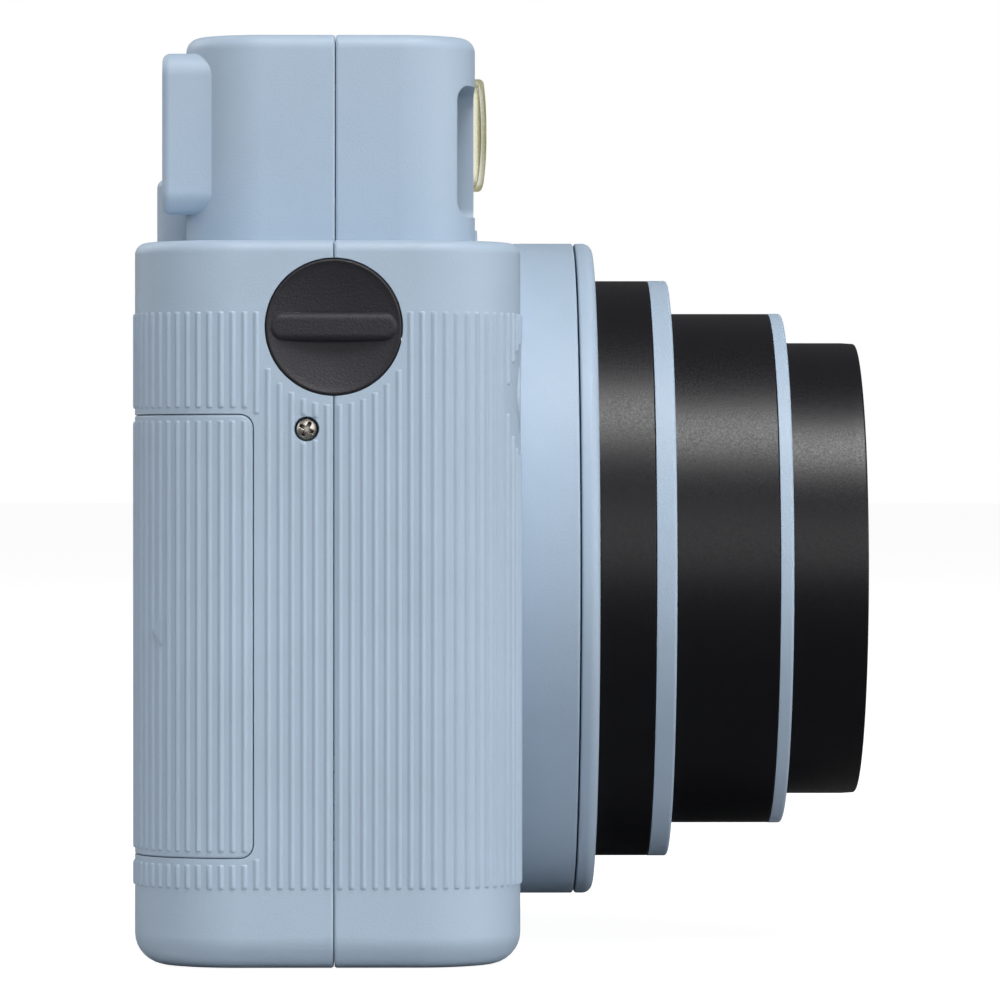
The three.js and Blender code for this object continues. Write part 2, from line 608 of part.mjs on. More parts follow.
/** Bent frame that carries the rollers, the reduction gear and the motor. */
function addRollerBracket() {
  const inner = 50.9;
  const outer = 61.6;
  const base = block([inner, outer], [-16.6, 16.6], [12.6, 14.2]);
  const top = block([inner, outer], [0.2, 16.6], [85.4, 87]);
  const web = block([outer - 1.4, outer], [0.2, 4.6], [13, 86.5]);
  const shaftHoles = [frontRollerY, rearRollerY].map((y) =>
    post(ROLLER_X, y, ROLLER.shaft + 0.1, [0, 100], 12));
  const pivotHoles = [idlerY, pinionY].map((y) => post(ROLLER_X, y, 1.15, [0, 20], 10));
  place('roller_bracket', cut(join(base, top, web), ...shaftHoles, ...pivotHoles), steel());
}

// ---------------------------------------------------------------- power and electronics

function addBatteries() {
  const { radius, length, x, y, low } = CELL;
  [0, 1].forEach((index) => {
    const foot = low + index * (length - 0.6 + GAP);
    const can = post(x, y, radius - 0.05, [foot, foot + length - 1.2], 20);
    const nub = post(x, y, 2.6, [foot + length - 1.3, foot + length - 0.6], 10);
    place(`battery_${index + 1}`, can.add(nub), cellWrap());
  });
  const mouth = cut(post(x, y, radius + 1.5, [11.6, 72.6], 20), post(x, y, radius + 0.4, [13.2, 71], 20));
  const towardDoor = block([-80, 80], [0, 60], [0, 100]);
  const doorSide = solid(new THREE.BoxGeometry(60, 30, 57.6)
    .translate(0, 15, 0).rotateZ(Math.PI / 4).translate(x + 1.2, y - 1.2, 42.1));
  const room = raised(bodyPlan(WALL + GAP), [WALL, HEIGHT - WALL]);
  place('battery_holder', cut(mouth, doorSide).intersect(room).intersect(towardDoor), blackPlastic());
  place('battery_plate', post(x, y, 5.5, [69.3, 70.4], 16), steel());
  place('battery_spring', springSolid(4.6, 13.5, 15.1), steel()).position.set(x, y, 0);
}

/** Coil spring with a round wire along Z. */
function springSolid(radius, low, high) {
  const turns = 1.2;
  const wire = 0.4;
  const rise = high - low - 2 * wire - 0.2;
  class Helix extends THREE.Curve {
    getPoint(t, target = new THREE.Vector3()) {
      const angle = 2 * Math.PI * turns * t;
      return target.set(radius * Math.cos(angle), radius * Math.sin(angle), low + wire + 0.1 + rise * t);
    }
  }
  const section = new THREE.Shape();
  section.absarc(0, 0, wire, 0, 2 * Math.PI);
  return solid(new THREE.ExtrudeGeometry(section, {
    steps: 22, curveSegments: 2, bevelEnabled: false, extrudePath: new Helix(),
  }));
}

/** Door that follows the rounded rear corner. */
function addBatteryDoor() {
  const hollow = raised(bodyPlan(WALL - 0.1), [-5, HEIGHT + 5]);
  const skin = raised(bodyPlan(0), [0, HEIGHT], BASE_FILLET).subtract(hollow);
  place('battery_door', skin.intersect(batteryDoorZone(0)), bluePlastic());
}

function addElectronics() {
  place('main_board', block([-61.8, -41.2], [0.1, 1.7], [29, 79.5]), boardGreen());
  place('flash_capacitor', post(-52, -10, 6, [20, 54], 24), blackPlastic());
}

// ---------------------------------------------------------------- counter, lugs, screws

function addCounter() {
  const front = 19.6;
  const disc = pegY(DIAL.x, DIAL.z, DIAL.radius, [front, front + 1]);
  const hub = pegY(DIAL.x, DIAL.z, 1.6, [front - 2.5, front + 0.2], 10);
  const notch = block([DIAL.x - 0.6, DIAL.x + 0.6], [front - 1, front + 2], [DIAL.z + 4.9, DIAL.z + 7]);
  place('counter_disc', cut(disc.add(hub), notch), whitePlastic());
  place('counter_window', counterPane(0, [COUNTER.back - 1.8, COUNTER.back - 0.3]), clearPlastic());
}

/** Disc with a bar across a well, for a wrist strap to loop under; outward is local +X. */
function lugSolid() {
  const depth = 2.7;
  const disc = pegX(0, 0, LUG.radius, [-depth, 0.1], 24);
  const well = pegX(0, 0, 6.4, [-2.1, 1], 20);
  const bar = sideways(roundedRect(-LUG.barLength / 2, LUG.barLength / 2, -LUG.barHeight / 2,
    LUG.barHeight / 2, 1.7), [-1.2, 0.15], 3);
  return disc.subtract(well).add(bar);
}

function addSideFittings() {
  const right = place('strap_lug_right', lugSolid(), blackPlastic());
  right.rotation.z = Math.PI;
  right.position.set(-SIDE, SEAM_Y, LUG.z);
  place('strap_lug_left', lugSolid(), blackPlastic()).position.set(SIDE, SEAM_Y, LUG.z);
  const head = pegX(0, 0, SCREW.radius, [-SCREW.head, 0], 14);
  const screw = head.add(pegX(0, 0, SCREW.shank, [-SCREW.length, -SCREW.head + 0.05], 10));
  const rightScrew = place('case_screw_right', screw, steel());
  rightScrew.rotation.z = Math.PI;
  rightScrew.position.set(-SIDE + 0.05, SCREW.y, SCREW.z);
  place('case_screw_left', screw, steel()).position.set(SIDE - 0.05, SCREW.y, SCREW.z);
}

addShells();
addLensDrum();
addBarrels();
addLensHead();
addShutterButton();
addFlash();
addViewfinder();
addFilm();
addBackCover();
addTransport();
addBatteries();
addBatteryDoor();
addElectronics();
addCounter();
addSideFittings();

export default parts;
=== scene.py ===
import json
import random
from math import cos, pi, radians, sin, sqrt

import bmesh
import bpy
from mathutils import Matrix, Vector

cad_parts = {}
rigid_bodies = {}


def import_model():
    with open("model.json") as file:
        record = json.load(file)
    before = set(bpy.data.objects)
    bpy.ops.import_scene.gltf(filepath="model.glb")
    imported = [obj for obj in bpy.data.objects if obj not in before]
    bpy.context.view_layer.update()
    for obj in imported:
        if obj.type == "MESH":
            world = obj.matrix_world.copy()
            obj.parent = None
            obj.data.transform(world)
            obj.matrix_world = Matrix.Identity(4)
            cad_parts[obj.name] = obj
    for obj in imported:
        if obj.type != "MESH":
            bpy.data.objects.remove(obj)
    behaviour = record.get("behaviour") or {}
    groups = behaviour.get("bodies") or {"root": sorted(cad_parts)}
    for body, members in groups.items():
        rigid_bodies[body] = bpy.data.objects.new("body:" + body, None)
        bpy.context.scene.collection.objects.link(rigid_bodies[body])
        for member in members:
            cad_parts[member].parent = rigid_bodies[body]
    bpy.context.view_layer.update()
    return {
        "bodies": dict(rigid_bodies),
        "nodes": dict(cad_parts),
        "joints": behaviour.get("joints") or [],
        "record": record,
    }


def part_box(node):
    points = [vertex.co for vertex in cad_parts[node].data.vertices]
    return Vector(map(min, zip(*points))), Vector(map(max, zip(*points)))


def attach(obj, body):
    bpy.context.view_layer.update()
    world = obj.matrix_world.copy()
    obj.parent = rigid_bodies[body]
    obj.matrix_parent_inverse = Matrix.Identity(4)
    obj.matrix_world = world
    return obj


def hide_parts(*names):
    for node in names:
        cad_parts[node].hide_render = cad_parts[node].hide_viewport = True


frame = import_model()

MM = 0.001
QUARTER = pi / 2

# ------------------------------------------------------------------ sizes, in millimetres


def show(obj):
    bpy.context.scene.collection.objects.link(obj)
    return obj


def front_rect(low, high):
    """X and Z limits of a box."""
    return (low.x, high.x, low.z, high.z)


def node_box(name):
    """Lowest and highest corner of a CAD node, in millimetres."""
    low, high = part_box(name)
    return Vector(low) / MM, Vector(high) / MM


BODY_OF = {node: body for body, nodes in frame["record"]["behaviour"]["bodies"].items() for node in nodes}
SLOT_OF = {entry["node"]: entry["material_slot"] for entry in frame["record"]["subparts"]}

front_high = node_box("front_shell")[1]
rear_low, rear_high = node_box("rear_shell")
drum_low, drum_high = node_box("lens_drum")
door_low, door_high = node_box("battery_door")
cover_low, cover_high = node_box("back_cover")

SIDE = rear_high.x                     # half width of the body
BACK = rear_high.y                     # half thickness of the body
TOP = rear_high.z                      # top of the hump
SEAM = (front_high.y + rear_low.y) / 2
SEAM_GAP = 0.12
LENS_Z = (drum_low.z + drum_high.z) / 2
HEIGHT = 91.5                          # top of the main body
CORNER = 13
WALL = 2
BASE_FILLET = 4
TOP_FILLET = 1.5

LENS_AXIS = (0, 0, LENS_Z)
SPIGOT = 40.3                          # radius of the drum's end in the front shell
LAST_BARREL = 30.4                     # radius of the front barrel
BARREL_WALL = 1.6
FLANGE = 2.2                           # thickness of a barrel's rear flange

HUMP = {"rect": (-46, 30, -18.9, 18.5), "radius": 10, "fillet": 1.8}
COUNTER = {"rect": (2, 26, 12, 23.8), "radius": 4, "top": 102.3, "fillet": 1.1}
EYEPIECE = {"rect": (-43.6, -18.6, 95.5, 116.4), "radius": 3, "back": 21.4, "fillet": 1.0}
FINDER = (-42.4, -20, 95.4, 112.3)     # recess for the viewfinder's front window: X and Z limits
FLASH = (-16, 6, 99.9, 114.9)
SENSOR = (10.5, 18.5, 104.5, 111.5)
SIGHT = {"x": -31.1, "z": 104.9, "width": 16.8, "height": 14}
COUNTER_WINDOW = (10.2, 17.8, 93.6, 99.4)
HINGE = (51.6, 23.1)                   # X and Y of the back cover's pin
HINGE_ROLL = 1.4                       # radius of the cover's edge round the pin
PIN_BORE = 0.7
EXIT = (6.8, 8.8)                      # Y limits of the slot that the picture leaves by
COLLAR = {"inner": 40, "outer": 45.6, "front": -19.5}
DIAL_AXIS = (14, 0, 93)
BUTTON = {"x": -51.2, "z": 71.6, "radius": 4.6, "dish": 5.4, "seat": 0.3, "rib_free": 7.7}
BUTTON_AXIS = (BUTTON["x"], 0, BUTTON["z"])
LUG_Z = 80.6
LUG_RADIUS = 8.55
LUG_CLEAR = 9.75                       # radius round the lug that ribs keep out of
LUG_BAR = {"half_long": 8.3, "half_high": 1.8, "proud": 0.05, "thick": 1.1,
           "front_edge": 0.95, "back_edge": 0.1}
SCREW_Y = 2.5
SCREW_Z = 67.8
SCREW_RADIUS = 1.45
MARK_Z = 42.4                          # mark on the battery door

RIB = {"pitch": 1.48, "first": 0.79, "shift": 0.06, "width": 0.8, "height": 0.25, "low": 10.1, "high": 82.5,
       "end": 0.42, "drum_clear": 46, "stop": 54.6, "door_stop": 44.0}     # stops: X on the front and back

# ------------------------------------------------------------------ mesh helpers


def new_object(name, vertices, faces, dissolve=False):
    """Object from points in millimetres, with its faces turned outwards; dissolve drops empty faces."""
    mesh = bpy.data.meshes.new(name)
    mesh.from_pydata([Vector(v) * MM for v in vertices], [], faces)
    work = bmesh.new()
    work.from_mesh(mesh)
    bmesh.ops.remove_doubles(work, verts=work.verts, dist=1e-7)
    if dissolve:
        bmesh.ops.dissolve_degenerate(work, edges=work.edges, dist=1e-8)
    bmesh.ops.recalc_face_normals(work, faces=work.faces)
    work.to_mesh(mesh)
    work.free()
    return show(bpy.data.objects.new(name, mesh))


AXIS_MAP = {
    "x": lambda a, b, h: (h, a, b),
    "y": lambda a, b, h: (a, h, b),
    "z": lambda a, b, h: (a, b, h),
}


def arc(centre_a, centre_b, radius, start, end, steps):
    angles = [start + (end - start) * i / steps for i in range(steps + 1)]
    return [(centre_a + radius * cos(turn), centre_b + radius * sin(turn)) for turn in angles]


def rounded_rect(rect, radius, inset=0.0, steps=10):
    """Closed outline of a rectangle (a0, a1, b0, b1) with round corners, moved inwards by inset."""
    a0, a1, b0, b1 = rect
    a0, a1, b0, b1 = a0 + inset, a1 - inset, b0 + inset, b1 - inset
    r = max(radius - inset, 0.02)
    return (arc(a1 - r, b0 + r, r, -QUARTER, 0, steps) + arc(a1 - r, b1 - r, r, 0, QUARTER, steps)
            + arc(a0 + r, b1 - r, r, QUARTER, pi, steps)
            + arc(a0 + r, b0 + r, r, pi, pi + QUARTER, steps))


def edge_levels(low, high, low_fillet, high_fillet, steps=6):
    """(inset, height) pairs that round the lower and upper edge of a block."""
    levels = []
    for i in range(steps + 1):
        angle = QUARTER * i / steps
        levels.append((low_fillet * (1 - sin(angle)), low + low_fillet * (1 - cos(angle))))
        if low_fillet == 0:
            break
    for i in range(steps + 1):
        angle = QUARTER * i / steps
        levels.append((high_fillet * (1 - cos(angle)), high - high_fillet * (1 - sin(angle))))
        if high_fillet == 0:
            break
    return levels


def add_rings(vertices, faces, rings):
    """Adds a closed body through rings of equal length, capped at both ends."""
    count = len(rings[0])
    base = len(vertices)
    vertices += [point for ring in rings for point in ring]
    for a in range(base, len(vertices) - count, count):
        for i in range(count):
            j = (i + 1) % count
            faces.append((a + i, a + j, a + count + j, a + count + i))
    faces.append(tuple(range(base, base + count))[::-1])
    faces.append(tuple(range(len(vertices) - count, len(vertices))))


def loft(name, rings):
    vertices, faces = [], []
    add_rings(vertices, faces, rings)
    return new_object(name, vertices, faces)


def block(name, rect, radius, heights, fillets=(0, 0), axis="z", steps=10, edge_steps=6):
    """Rounded rectangle run along an axis, with rounded end edges."""
    place = AXIS_MAP[axis]
    rings = []
    for inset, height in edge_levels(*heights, *fillets, steps=edge_steps):
        rings.append([place(a, b, height) for a, b in rounded_rect(rect, radius, inset, steps)])
    return loft(name, rings)


def plate(name, node, radius, fillets=(0, 0), steps=10, edge_steps=6):
    """Block that fills a CAD node's box, with round corners in the front view."""
    low, high = node_box(node)
    return block(name, front_rect(low, high), radius, (low.y, high.y), fillets, "y", steps, edge_steps)


def turned(name, profile, centre=(0, 0, 0), axis="y", steps=144):
    """Body of revolution from a closed profile of (radius, height along the axis) points."""
    place = AXIS_MAP[axis]
    count = len(profile)
    vertices = []
    for i in range(steps):
        angle = 2 * pi * i / steps
        for radius, height in profile:
            point = Vector(place(radius * cos(angle), radius * sin(angle), height))
            vertices.append(point + Vector(centre))
    faces = []
    for i in range(steps):
        j = (i + 1) % steps
        for k in range(count):
            m = (k + 1) % count
            if profile[k][0] == 0 and profile[m][0] == 0:
                continue
            faces.append((i * count + k, i * count + m, j * count + m, j * count + k))
    return new_object(name, vertices, faces, dissolve=True)


def corner_arc(radius, height, edge, quadrant, steps=5):
    """Profile points that round a corner at (radius, height); quadrant says which way it opens."""
    out, up = quadrant
    return [(radius - out * edge + out * x, height - up * edge + up * y)
            for x, y in arc(0, 0, edge, 0, QUARTER, steps)]


def tool_box(name, low, high):
    return block(name, (low[0], high[0], low[1], high[1]), 0.001, (low[2], high[2]), steps=1)


def boolean(body, tool, operation="DIFFERENCE"):
    """Cuts or joins body with tool, keeps the result in body and deletes the tool."""
    modifier = body.modifiers.new("boolean", "BOOLEAN")
    modifier.object = tool
    modifier.operation = operation
    modifier.solver = "MANIFOLD"
    graph = bpy.context.evaluated_depsgraph_get()
    mesh = bpy.data.meshes.new_from_object(body.evaluated_get(graph))
    body.modifiers.remove(modifier)
    old = body.data
    body.data = mesh
    mesh.name = old.name
    bpy.data.meshes.remove(old)
    bpy.data.meshes.remove(tool.data)
    if len(mesh.polygons) == 0:
        raise RuntimeError(f"boolean left nothing of {body.name}")
    return body


def cut(body, *tools):
    for tool in tools:
        boolean(body, tool)
    return body


def join(body, *others):
    for other in others:
        boolean(body, other, "UNION")
    return body


def copy_of(obj, name):
    twin = obj.copy()
    twin.data = obj.data.copy()
    twin.name = name
    return show(twin)


def smooth(obj, angle):
    """Smooth shading with sharp edges above an angle, and flat faces that stay flat."""
    obj.data.shade_smooth()
    obj.data.set_sharp_from_angle(angle=radians(angle))
    weighted = obj.modifiers.new("normals", "WEIGHTED_NORMAL")
    weighted.keep_sharp = True
    weighted.weight = 80


def set_material(obj, node):
    """Gives an object the material of a CAD node."""
    obj.data.materials.clear()
    obj.data.materials.append(NODE_MATERIAL.get(node) or SLOT_MATERIAL[SLOT_OF[node]])


def finish_piece(obj, node, angle=32):
    """Puts a new piece in the place of a CAD node, on the same body and with the same material."""
    smooth(obj, angle)
    set_material(obj, node)
    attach(obj, BODY_OF[node])
    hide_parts(node)


# ------------------------------------------------------------------ materials


class Nodes:
    """Short way to build one node material."""

    def __init__(self, name):
        self.material = bpy.data.materials.new(name)
        self.material.use_nodes = True
        self.tree = self.material.node_tree
        self.shader = self.tree.nodes["Principled BSDF"]
        self.coords = self.tree.nodes.new("ShaderNodeTexCoord").outputs["Object"]

    def link(self, source, target):
        self.tree.links.new(source, target)

    def add(self, kind, **values):
        node = self.tree.nodes.new(kind)
        for key, value in values.items():
            if key in node.inputs:
                node.inputs[key].default_value = value
            else:
                setattr(node, key, value)
        return node

    def noise(self, scale, detail=4.0, roughness=0.6, stretch=None):
        node = self.add("ShaderNodeTexNoise", Scale=scale, Detail=detail, Roughness=roughness)
        source = self.coords
        if stretch:
            mapping = self.add("ShaderNodeMapping")
            mapping.inputs["Scale"].default_value = stretch
            self.link(source, mapping.inputs["Vector"])
            source = mapping.outputs["Vector"]
        self.link(source, node.inputs["Vector"])
        return node.outputs["Fac"]

    def map_range(self, source, from_span, to_span):
        node = self.add("ShaderNodeMapRange")
        for key, value in zip(("From Min", "From Max", "To Min", "To Max"), (*from_span, *to_span)):
            node.inputs[key].default_value = value
        self.link(source, node.inputs["Value"])
        return node.outputs["Result"]

    def spread(self, source, low, high):
        """Stretches a noise, which stays near its middle, to run from low to high."""
        return self.map_range(source, (0.3, 0.7), (low, high))

    def mix(self, factor, first, second, blend="MIX"):
        """Mixes two colours; each value is a socket, a number or an RGBA colour."""
        node = self.add("ShaderNodeMix", data_type="RGBA", blend_type=blend)
        for index, value in ((0, factor), (6, first), (7, second)):
            if isinstance(value, bpy.types.NodeSocket):
                self.link(value, node.inputs[index])
            else:
                node.inputs[index].default_value = value
        return node.outputs[2]

    def edges(self, radius):
        """1 on edges and 0 on flats, from the normal rounded over a small radius."""
        bevel = self.add("ShaderNodeBevel", samples=4)
        bevel.inputs["Radius"].default_value = radius
        geometry = self.add("ShaderNodeNewGeometry")
        dot = self.add("ShaderNodeVectorMath", operation="DOT_PRODUCT")
        self.link(bevel.outputs["Normal"], dot.inputs[0])
        self.link(geometry.outputs["Normal"], dot.inputs[1])
        return self.map_range(dot.outputs["Value"], (0.98, 0.75), (0, 1)), bevel.outputs["Normal"]

    def colour(self, base, variation_scale, amount, edge=None, highlight_colour=None):
        """Base colour with slow variation, and a painted highlight: a lighter colour along edges."""
        darker = tuple(c * (1 - amount) for c in base)
        lighter = tuple(min(1, c * (1 + amount)) for c in base)
        result = self.mix(self.spread(self.noise(variation_scale, 3), 0, 1), (*darker, 1), (*lighter, 1))
        if edge is not None:
            # painted highlight: edges are mixed towards the lighter highlight colour
            edge_highlight_share = self.add("ShaderNodeMath", operation="MULTIPLY")
            edge_highlight_share.inputs[1].default_value = 0.35
            self.link(edge, edge_highlight_share.inputs[0])
            result = self.mix(edge_highlight_share.outputs[0], result, (*highlight_colour, 1))
        self.link(result, self.shader.inputs["Base Color"])

    def paint_recess_shade(self, distance):
        """Painted shade: multiplies the base colour by the openness of the surface, so recesses come out
        darker.
        """
        base = self.shader.inputs["Base Color"].links[0].from_socket
        openness = self.add("ShaderNodeAmbientOcclusion", samples=8)
        openness.inputs["Distance"].default_value = distance
        shade = self.map_range(openness.outputs["AO"], (0.45, 0.95), (0.03, 1))
        self.link(self.mix(1.0, base, shade, "MULTIPLY"), self.shader.inputs["Base Color"])

    def see_through(self, tint, edge_tint, share):
        """Mixes in straight transparency, darker where the surface is seen edge-on."""
        facing = self.add("ShaderNodeLayerWeight", Blend=0.2)
        colour = self.mix(facing.outputs["Facing"], (*tint, 1), (*edge_tint, 1))
        transparent = self.add("ShaderNodeBsdfTransparent")
        self.link(colour, transparent.inputs["Color"])
        both = self.add("ShaderNodeMixShader")
        both.inputs["Fac"].default_value = share
        self.link(self.shader.outputs["BSDF"], both.inputs[1])
        self.link(transparent.outputs["BSDF"], both.inputs[2])
        self.link(both.outputs["Shader"], self.tree.nodes["Material Output"].inputs["Surface"])

    def bump(self, height, distance, strength=1.0, normal=None):
        node = self.add("ShaderNodeBump")
        node.inputs["Distance"].default_value = distance
        node.inputs["Strength"].default_value = strength
        self.link(height, node.inputs["Height"])
        if normal is not None:
            self.link(normal, node.inputs["Normal"])
        self.link(node.outputs["Normal"], self.shader.inputs["Normal"])

    def set(self, **values):
        for key, value in values.items():
            self.shader.inputs[key.replace("_", " ")].default_value = value


def moulded(name, base, rough, grain_scale, grain_height, edge_radius=0.00018, sheen=0.0, spec=0.5):
    """Injection-moulded plastic: spark grain, slow tone variation, softened edges with a painted highlight
    along them.
    """
    n = Nodes(name)
    mask, soft_normal = n.edges(edge_radius)
    # the lighter edge colour paints a highlight along edges
    n.colour(base, 60, 0.025, mask, tuple(min(1, c * 1.25 + 0.02) for c in base))
    grain = n.noise(grain_scale, 3, 0.55)
    n.link(n.spread(n.noise(grain_scale * 0.7, 2), rough - 0.05, rough + 0.06), n.shader.inputs["Roughness"])
    n.bump(grain, grain_height, 1.0, soft_normal)
    n.set(Specular_IOR_Level=spec)
    if sheen:
        n.set(Sheen_Weight=sheen)
    return n.material


def metal(name, base, rough, stretch=None, scale=400, recess_shade_depth=0.0):
    """Metal with fine drawn lines or a faint mottling and a painted highlight along its edges; the last
    argument sets the depth up to which painted shade darkens recesses.
    """
    n = Nodes(name)
    mask, soft_normal = n.edges(0.00012)
    # the lighter edge colour paints a highlight along edges
    n.colour(base, 90, 0.05, mask, tuple(min(1, c * 1.15) for c in base))
    if recess_shade_depth:
        # painted shade in recesses
        n.paint_recess_shade(recess_shade_depth)
    lines = n.noise(scale, 5, 0.6, stretch)
    n.link(n.spread(lines, rough - 0.08, rough + 0.1), n.shader.inputs["Roughness"])
    n.bump(lines, 0.000006, 0.6, soft_normal)
    n.set(Metallic=1.0)
    return n.material


def clear(name, tint, rough=0.03, ior=1.49, film=0.0, grooves=0.0, edge_tint=None):
    """Clear moulded plastic or coated glass; edge_tint colours it where it is seen edge-on."""
    n = Nodes(name)
    n.colour(tint, 40, 0.01)
    if edge_tint:
        n.see_through(tint, edge_tint, 0.8)
    n.link(n.spread(n.noise(120, 3), max(rough - 0.02, 0), rough + 0.03), n.shader.inputs["Roughness"])
    n.set(Transmission_Weight=1.0, IOR=ior)
    if film:
        n.set(Thin_Film_Thickness=film, Thin_Film_IOR=1.38)
    if grooves:
        wave = n.add("ShaderNodeTexWave", bands_direction="Z", Scale=grooves)
        n.link(n.coords, wave.inputs["Vector"])
        n.bump(wave.outputs["Fac"], 0.00004, 0.3)
    else:
        n.bump(n.noise(300, 2), 0.000002, 0.3)
    return n.material


BLUE = moulded("blue_plastic", (0.386, 0.487, 0.600), 0.5, 3800, 0.00003)
BLACK = moulded("black_satin_plastic", (0.0042, 0.004, 0.006), 0.35, 4200, 0.000009, spec=0.38)
GRAINED = moulded("black_grained_plastic", (0.023, 0.022, 0.028), 0.5, 3400, 0.00011, spec=0.4)
GLOSS = moulded("gloss_black_plastic", (0.006, 0.006, 0.007), 0.12, 1500, 0.000001)
CLEAR = clear("clear_flash_plastic", (0.985, 0.98, 0.93), 0.05, 1.3, grooves=900,
              edge_tint=(0.42, 0.40, 0.20))
WINDOW = clear("clear_window_plastic", (0.86, 0.88, 0.80), 0.04)
GLASS = clear("coated_lens_glass", (0.82, 0.86, 0.9), 0.0, 1.6, film=320)
SMOKED = clear("smoked_window", (0.10, 0.105, 0.12), 0.03)
STEEL = metal("drawn_steel", (0.62, 0.62, 0.64), 0.3, (1, 1, 12))
# painted shade darkens the screw's cross slots and other recesses
NICKEL = metal("nickel_screw", (0.66, 0.62, 0.55), 0.24, scale=1500, recess_shade_depth=0.0006)
BLADE = metal("blackened_steel", (0.03, 0.03, 0.034), 0.4)
MIRROR = metal("mirror_plate", (0.86, 0.87, 0.88), 0.12, scale=300)
BRASS = metal("brass", (0.68, 0.48, 0.2), 0.3, scale=600)
BOARD = moulded("circuit_board", (0.02, 0.12, 0.055), 0.4, 900, 0.00001)
WRAP = moulded("battery_wrap", (0.035, 0.10, 0.20), 0.3, 700, 0.000004)
PACK = moulded("film_pack_plastic", (0.03, 0.03, 0.034), 0.45, 2200, 0.00002)
FILM = moulded("film_sheet", (0.75, 0.75, 0.72), 0.45, 1200, 0.000004)
ACETAL = moulded("white_acetal", (0.72, 0.72, 0.69), 0.4, 1600, 0.00001)
FELT = moulded("black_felt", (0.012, 0.012, 0.013), 0.95, 1500, 0.0002, sheen=0.4)

SLOT_MATERIAL = {
    "body_blue": BLUE, "body_black": BLACK, "gloss_black": GLOSS, "clear_plastic": WINDOW,
    "lens_glass": GLASS, "steel": STEEL, "mirror_plate": MIRROR, "brass": BRASS, "board": BOARD,
    "cell_wrap": WRAP, "pack_plastic": PACK, "film": FILM, "gear_plastic": ACETAL, "felt": FELT,
}
NODE_MATERIAL = {                      # nodes whose look differs from the rest of their slot
    "strap_lug_right": GRAINED, "strap_lug_left": GRAINED, "case_screw_right": NICKEL,
    "case_screw_left": NICKEL, "flash_window": CLEAR, "finder_front_lens": SMOKED, "shutter_blade": BLADE,
}

# ------------------------------------------------------------------ ribs


def perimeter(side, along):
    """Point and outward normal on the body's plan outline; along runs from the seam to the back."""
    flat = BACK - CORNER
    y = SEAM + along
    rear = 1 if y > 0 else -1
    past = abs(y) - flat
    centre_x = SIDE - CORNER
    if past <= 0:
        return Vector((side * SIDE, y)), Vector((side, 0))
    angle = past / CORNER
    if angle <= QUARTER:
        normal = Vector((side * cos(angle), rear * sin(angle)))
        return Vector((side * centre_x, rear * flat)) + CORNER * normal, normal
    x = centre_x - (past - CORNER * QUARTER)
    return Vector((side * x, rear * BACK)), Vector((0, rear))


def remove_span(spans, low, high):
    """Spans with the stretch from low to high taken out; short leftovers are dropped."""
    kept = []
    for start, end in spans:
        for piece in ((start, min(end, low)), (max(start, high), end)):
            if piece[1] - piece[0] > 1.6:
                kept.append(piece)
    return kept


def remove_circle(spans, offset, centre_z, radius):
    if abs(offset) >= radius:
        return spans
    half = sqrt(radius ** 2 - offset ** 2)
    return remove_span(spans, centre_z - half, centre_z + half)


def shell_rib_spans(side, along):
    """Heights between which the shell carries a rib at this place of its outline."""
    point, normal = perimeter(side, along)
    spans = [(RIB["low"], RIB["high"])]
    on_side = abs(normal.x) > 0.999
    if on_side:
        if abs(along) < LUG_CLEAR - 0.25:
            spans = remove_circle(spans, along, LUG_Z, LUG_CLEAR)
        spans = remove_circle(spans, point.y - SCREW_Y, SCREW_Z, SCREW_RADIUS + 0.3)
    if normal.y < -0.02:
        if side < 0:
            spans = remove_circle(spans, point.x - BUTTON["x"], BUTTON["z"], BUTTON["rib_free"])
        spans = remove_circle(spans, point.x, LENS_Z, RIB["drum_clear"])
    if side < 0 and point.y > door_low.y - 1.0:
        margin = 0.85 if point.y > door_low.y else 0.1
        spans = remove_span(spans, door_low.z - margin, door_high.z + margin)
    if side > 0 and EXIT[0] - 1.2 < point.y < EXIT[1] + 1.2:
        spans = []
    limit = RIB["door_stop"] if normal.y > 0 and side < 0 else RIB["stop"]
    if normal.y > 0.999 and abs(point.x) < limit:
        spans = []
    return spans


def door_rib_spans(side, along):
    point, _ = perimeter(side, along)
    if point.y < door_low.y + 0.6 or abs(point.x) < abs(door_high.x) + 0.8:
        return []
    return [(door_low.z + 0.75, door_high.z - 0.75)]


def rib_solid(side, along, low, high):
    """Rings of one rib: a rounded ridge that sinks into the wall at both ends."""
    point, normal = perimeter(side, along)
    tangent = Vector((-normal.y, normal.x))
    half = RIB["width"] / 2
    across = [-1, -0.7, -0.4, 0, 0.4, 0.7, 1]
    sunk = -0.4
    rings = []
    end = RIB["end"]
    fades = [(0.0, -0.15), (0.06, 0.3), (0.16, 0.62), (0.3, 0.88), (1.0, 1.0)]
    stations = [(low + end * d, f) for d, f in fades]
    stations += [(high - end * d, f) for d, f in reversed(fades)]
    for z, fade in stations:
        ring = []
        for t in across:
            height = RIB["height"] * cos(QUARTER * t) ** 1.3 * fade
            spot = point + tangent * half * t + normal * (height if abs(t) < 1 else min(height, -0.02))
            ring.append((spot.x, spot.y, z))
        for t in (1, -1):
            spot = point + tangent * half * t + normal * sunk
            ring.append((spot.x, spot.y, z))
        rings.append(ring)
    return rings


def ribs(name, spans_at, sides=(-1, 1)):
    """All ribs of one piece as separate closed ridges in one mesh."""
    vertices, faces = [], []
    for side in sides:
        for direction in (-1, 1):
            for k in range(60):
                along = direction * (RIB["first"] + RIB["pitch"] * k) + RIB["shift"]
                for low, high in spans_at(side, along):
                    add_rings(vertices, faces, rib_solid(side, along, low, high))
    return new_object(name, vertices, faces)


# ------------------------------------------------------------------ shells

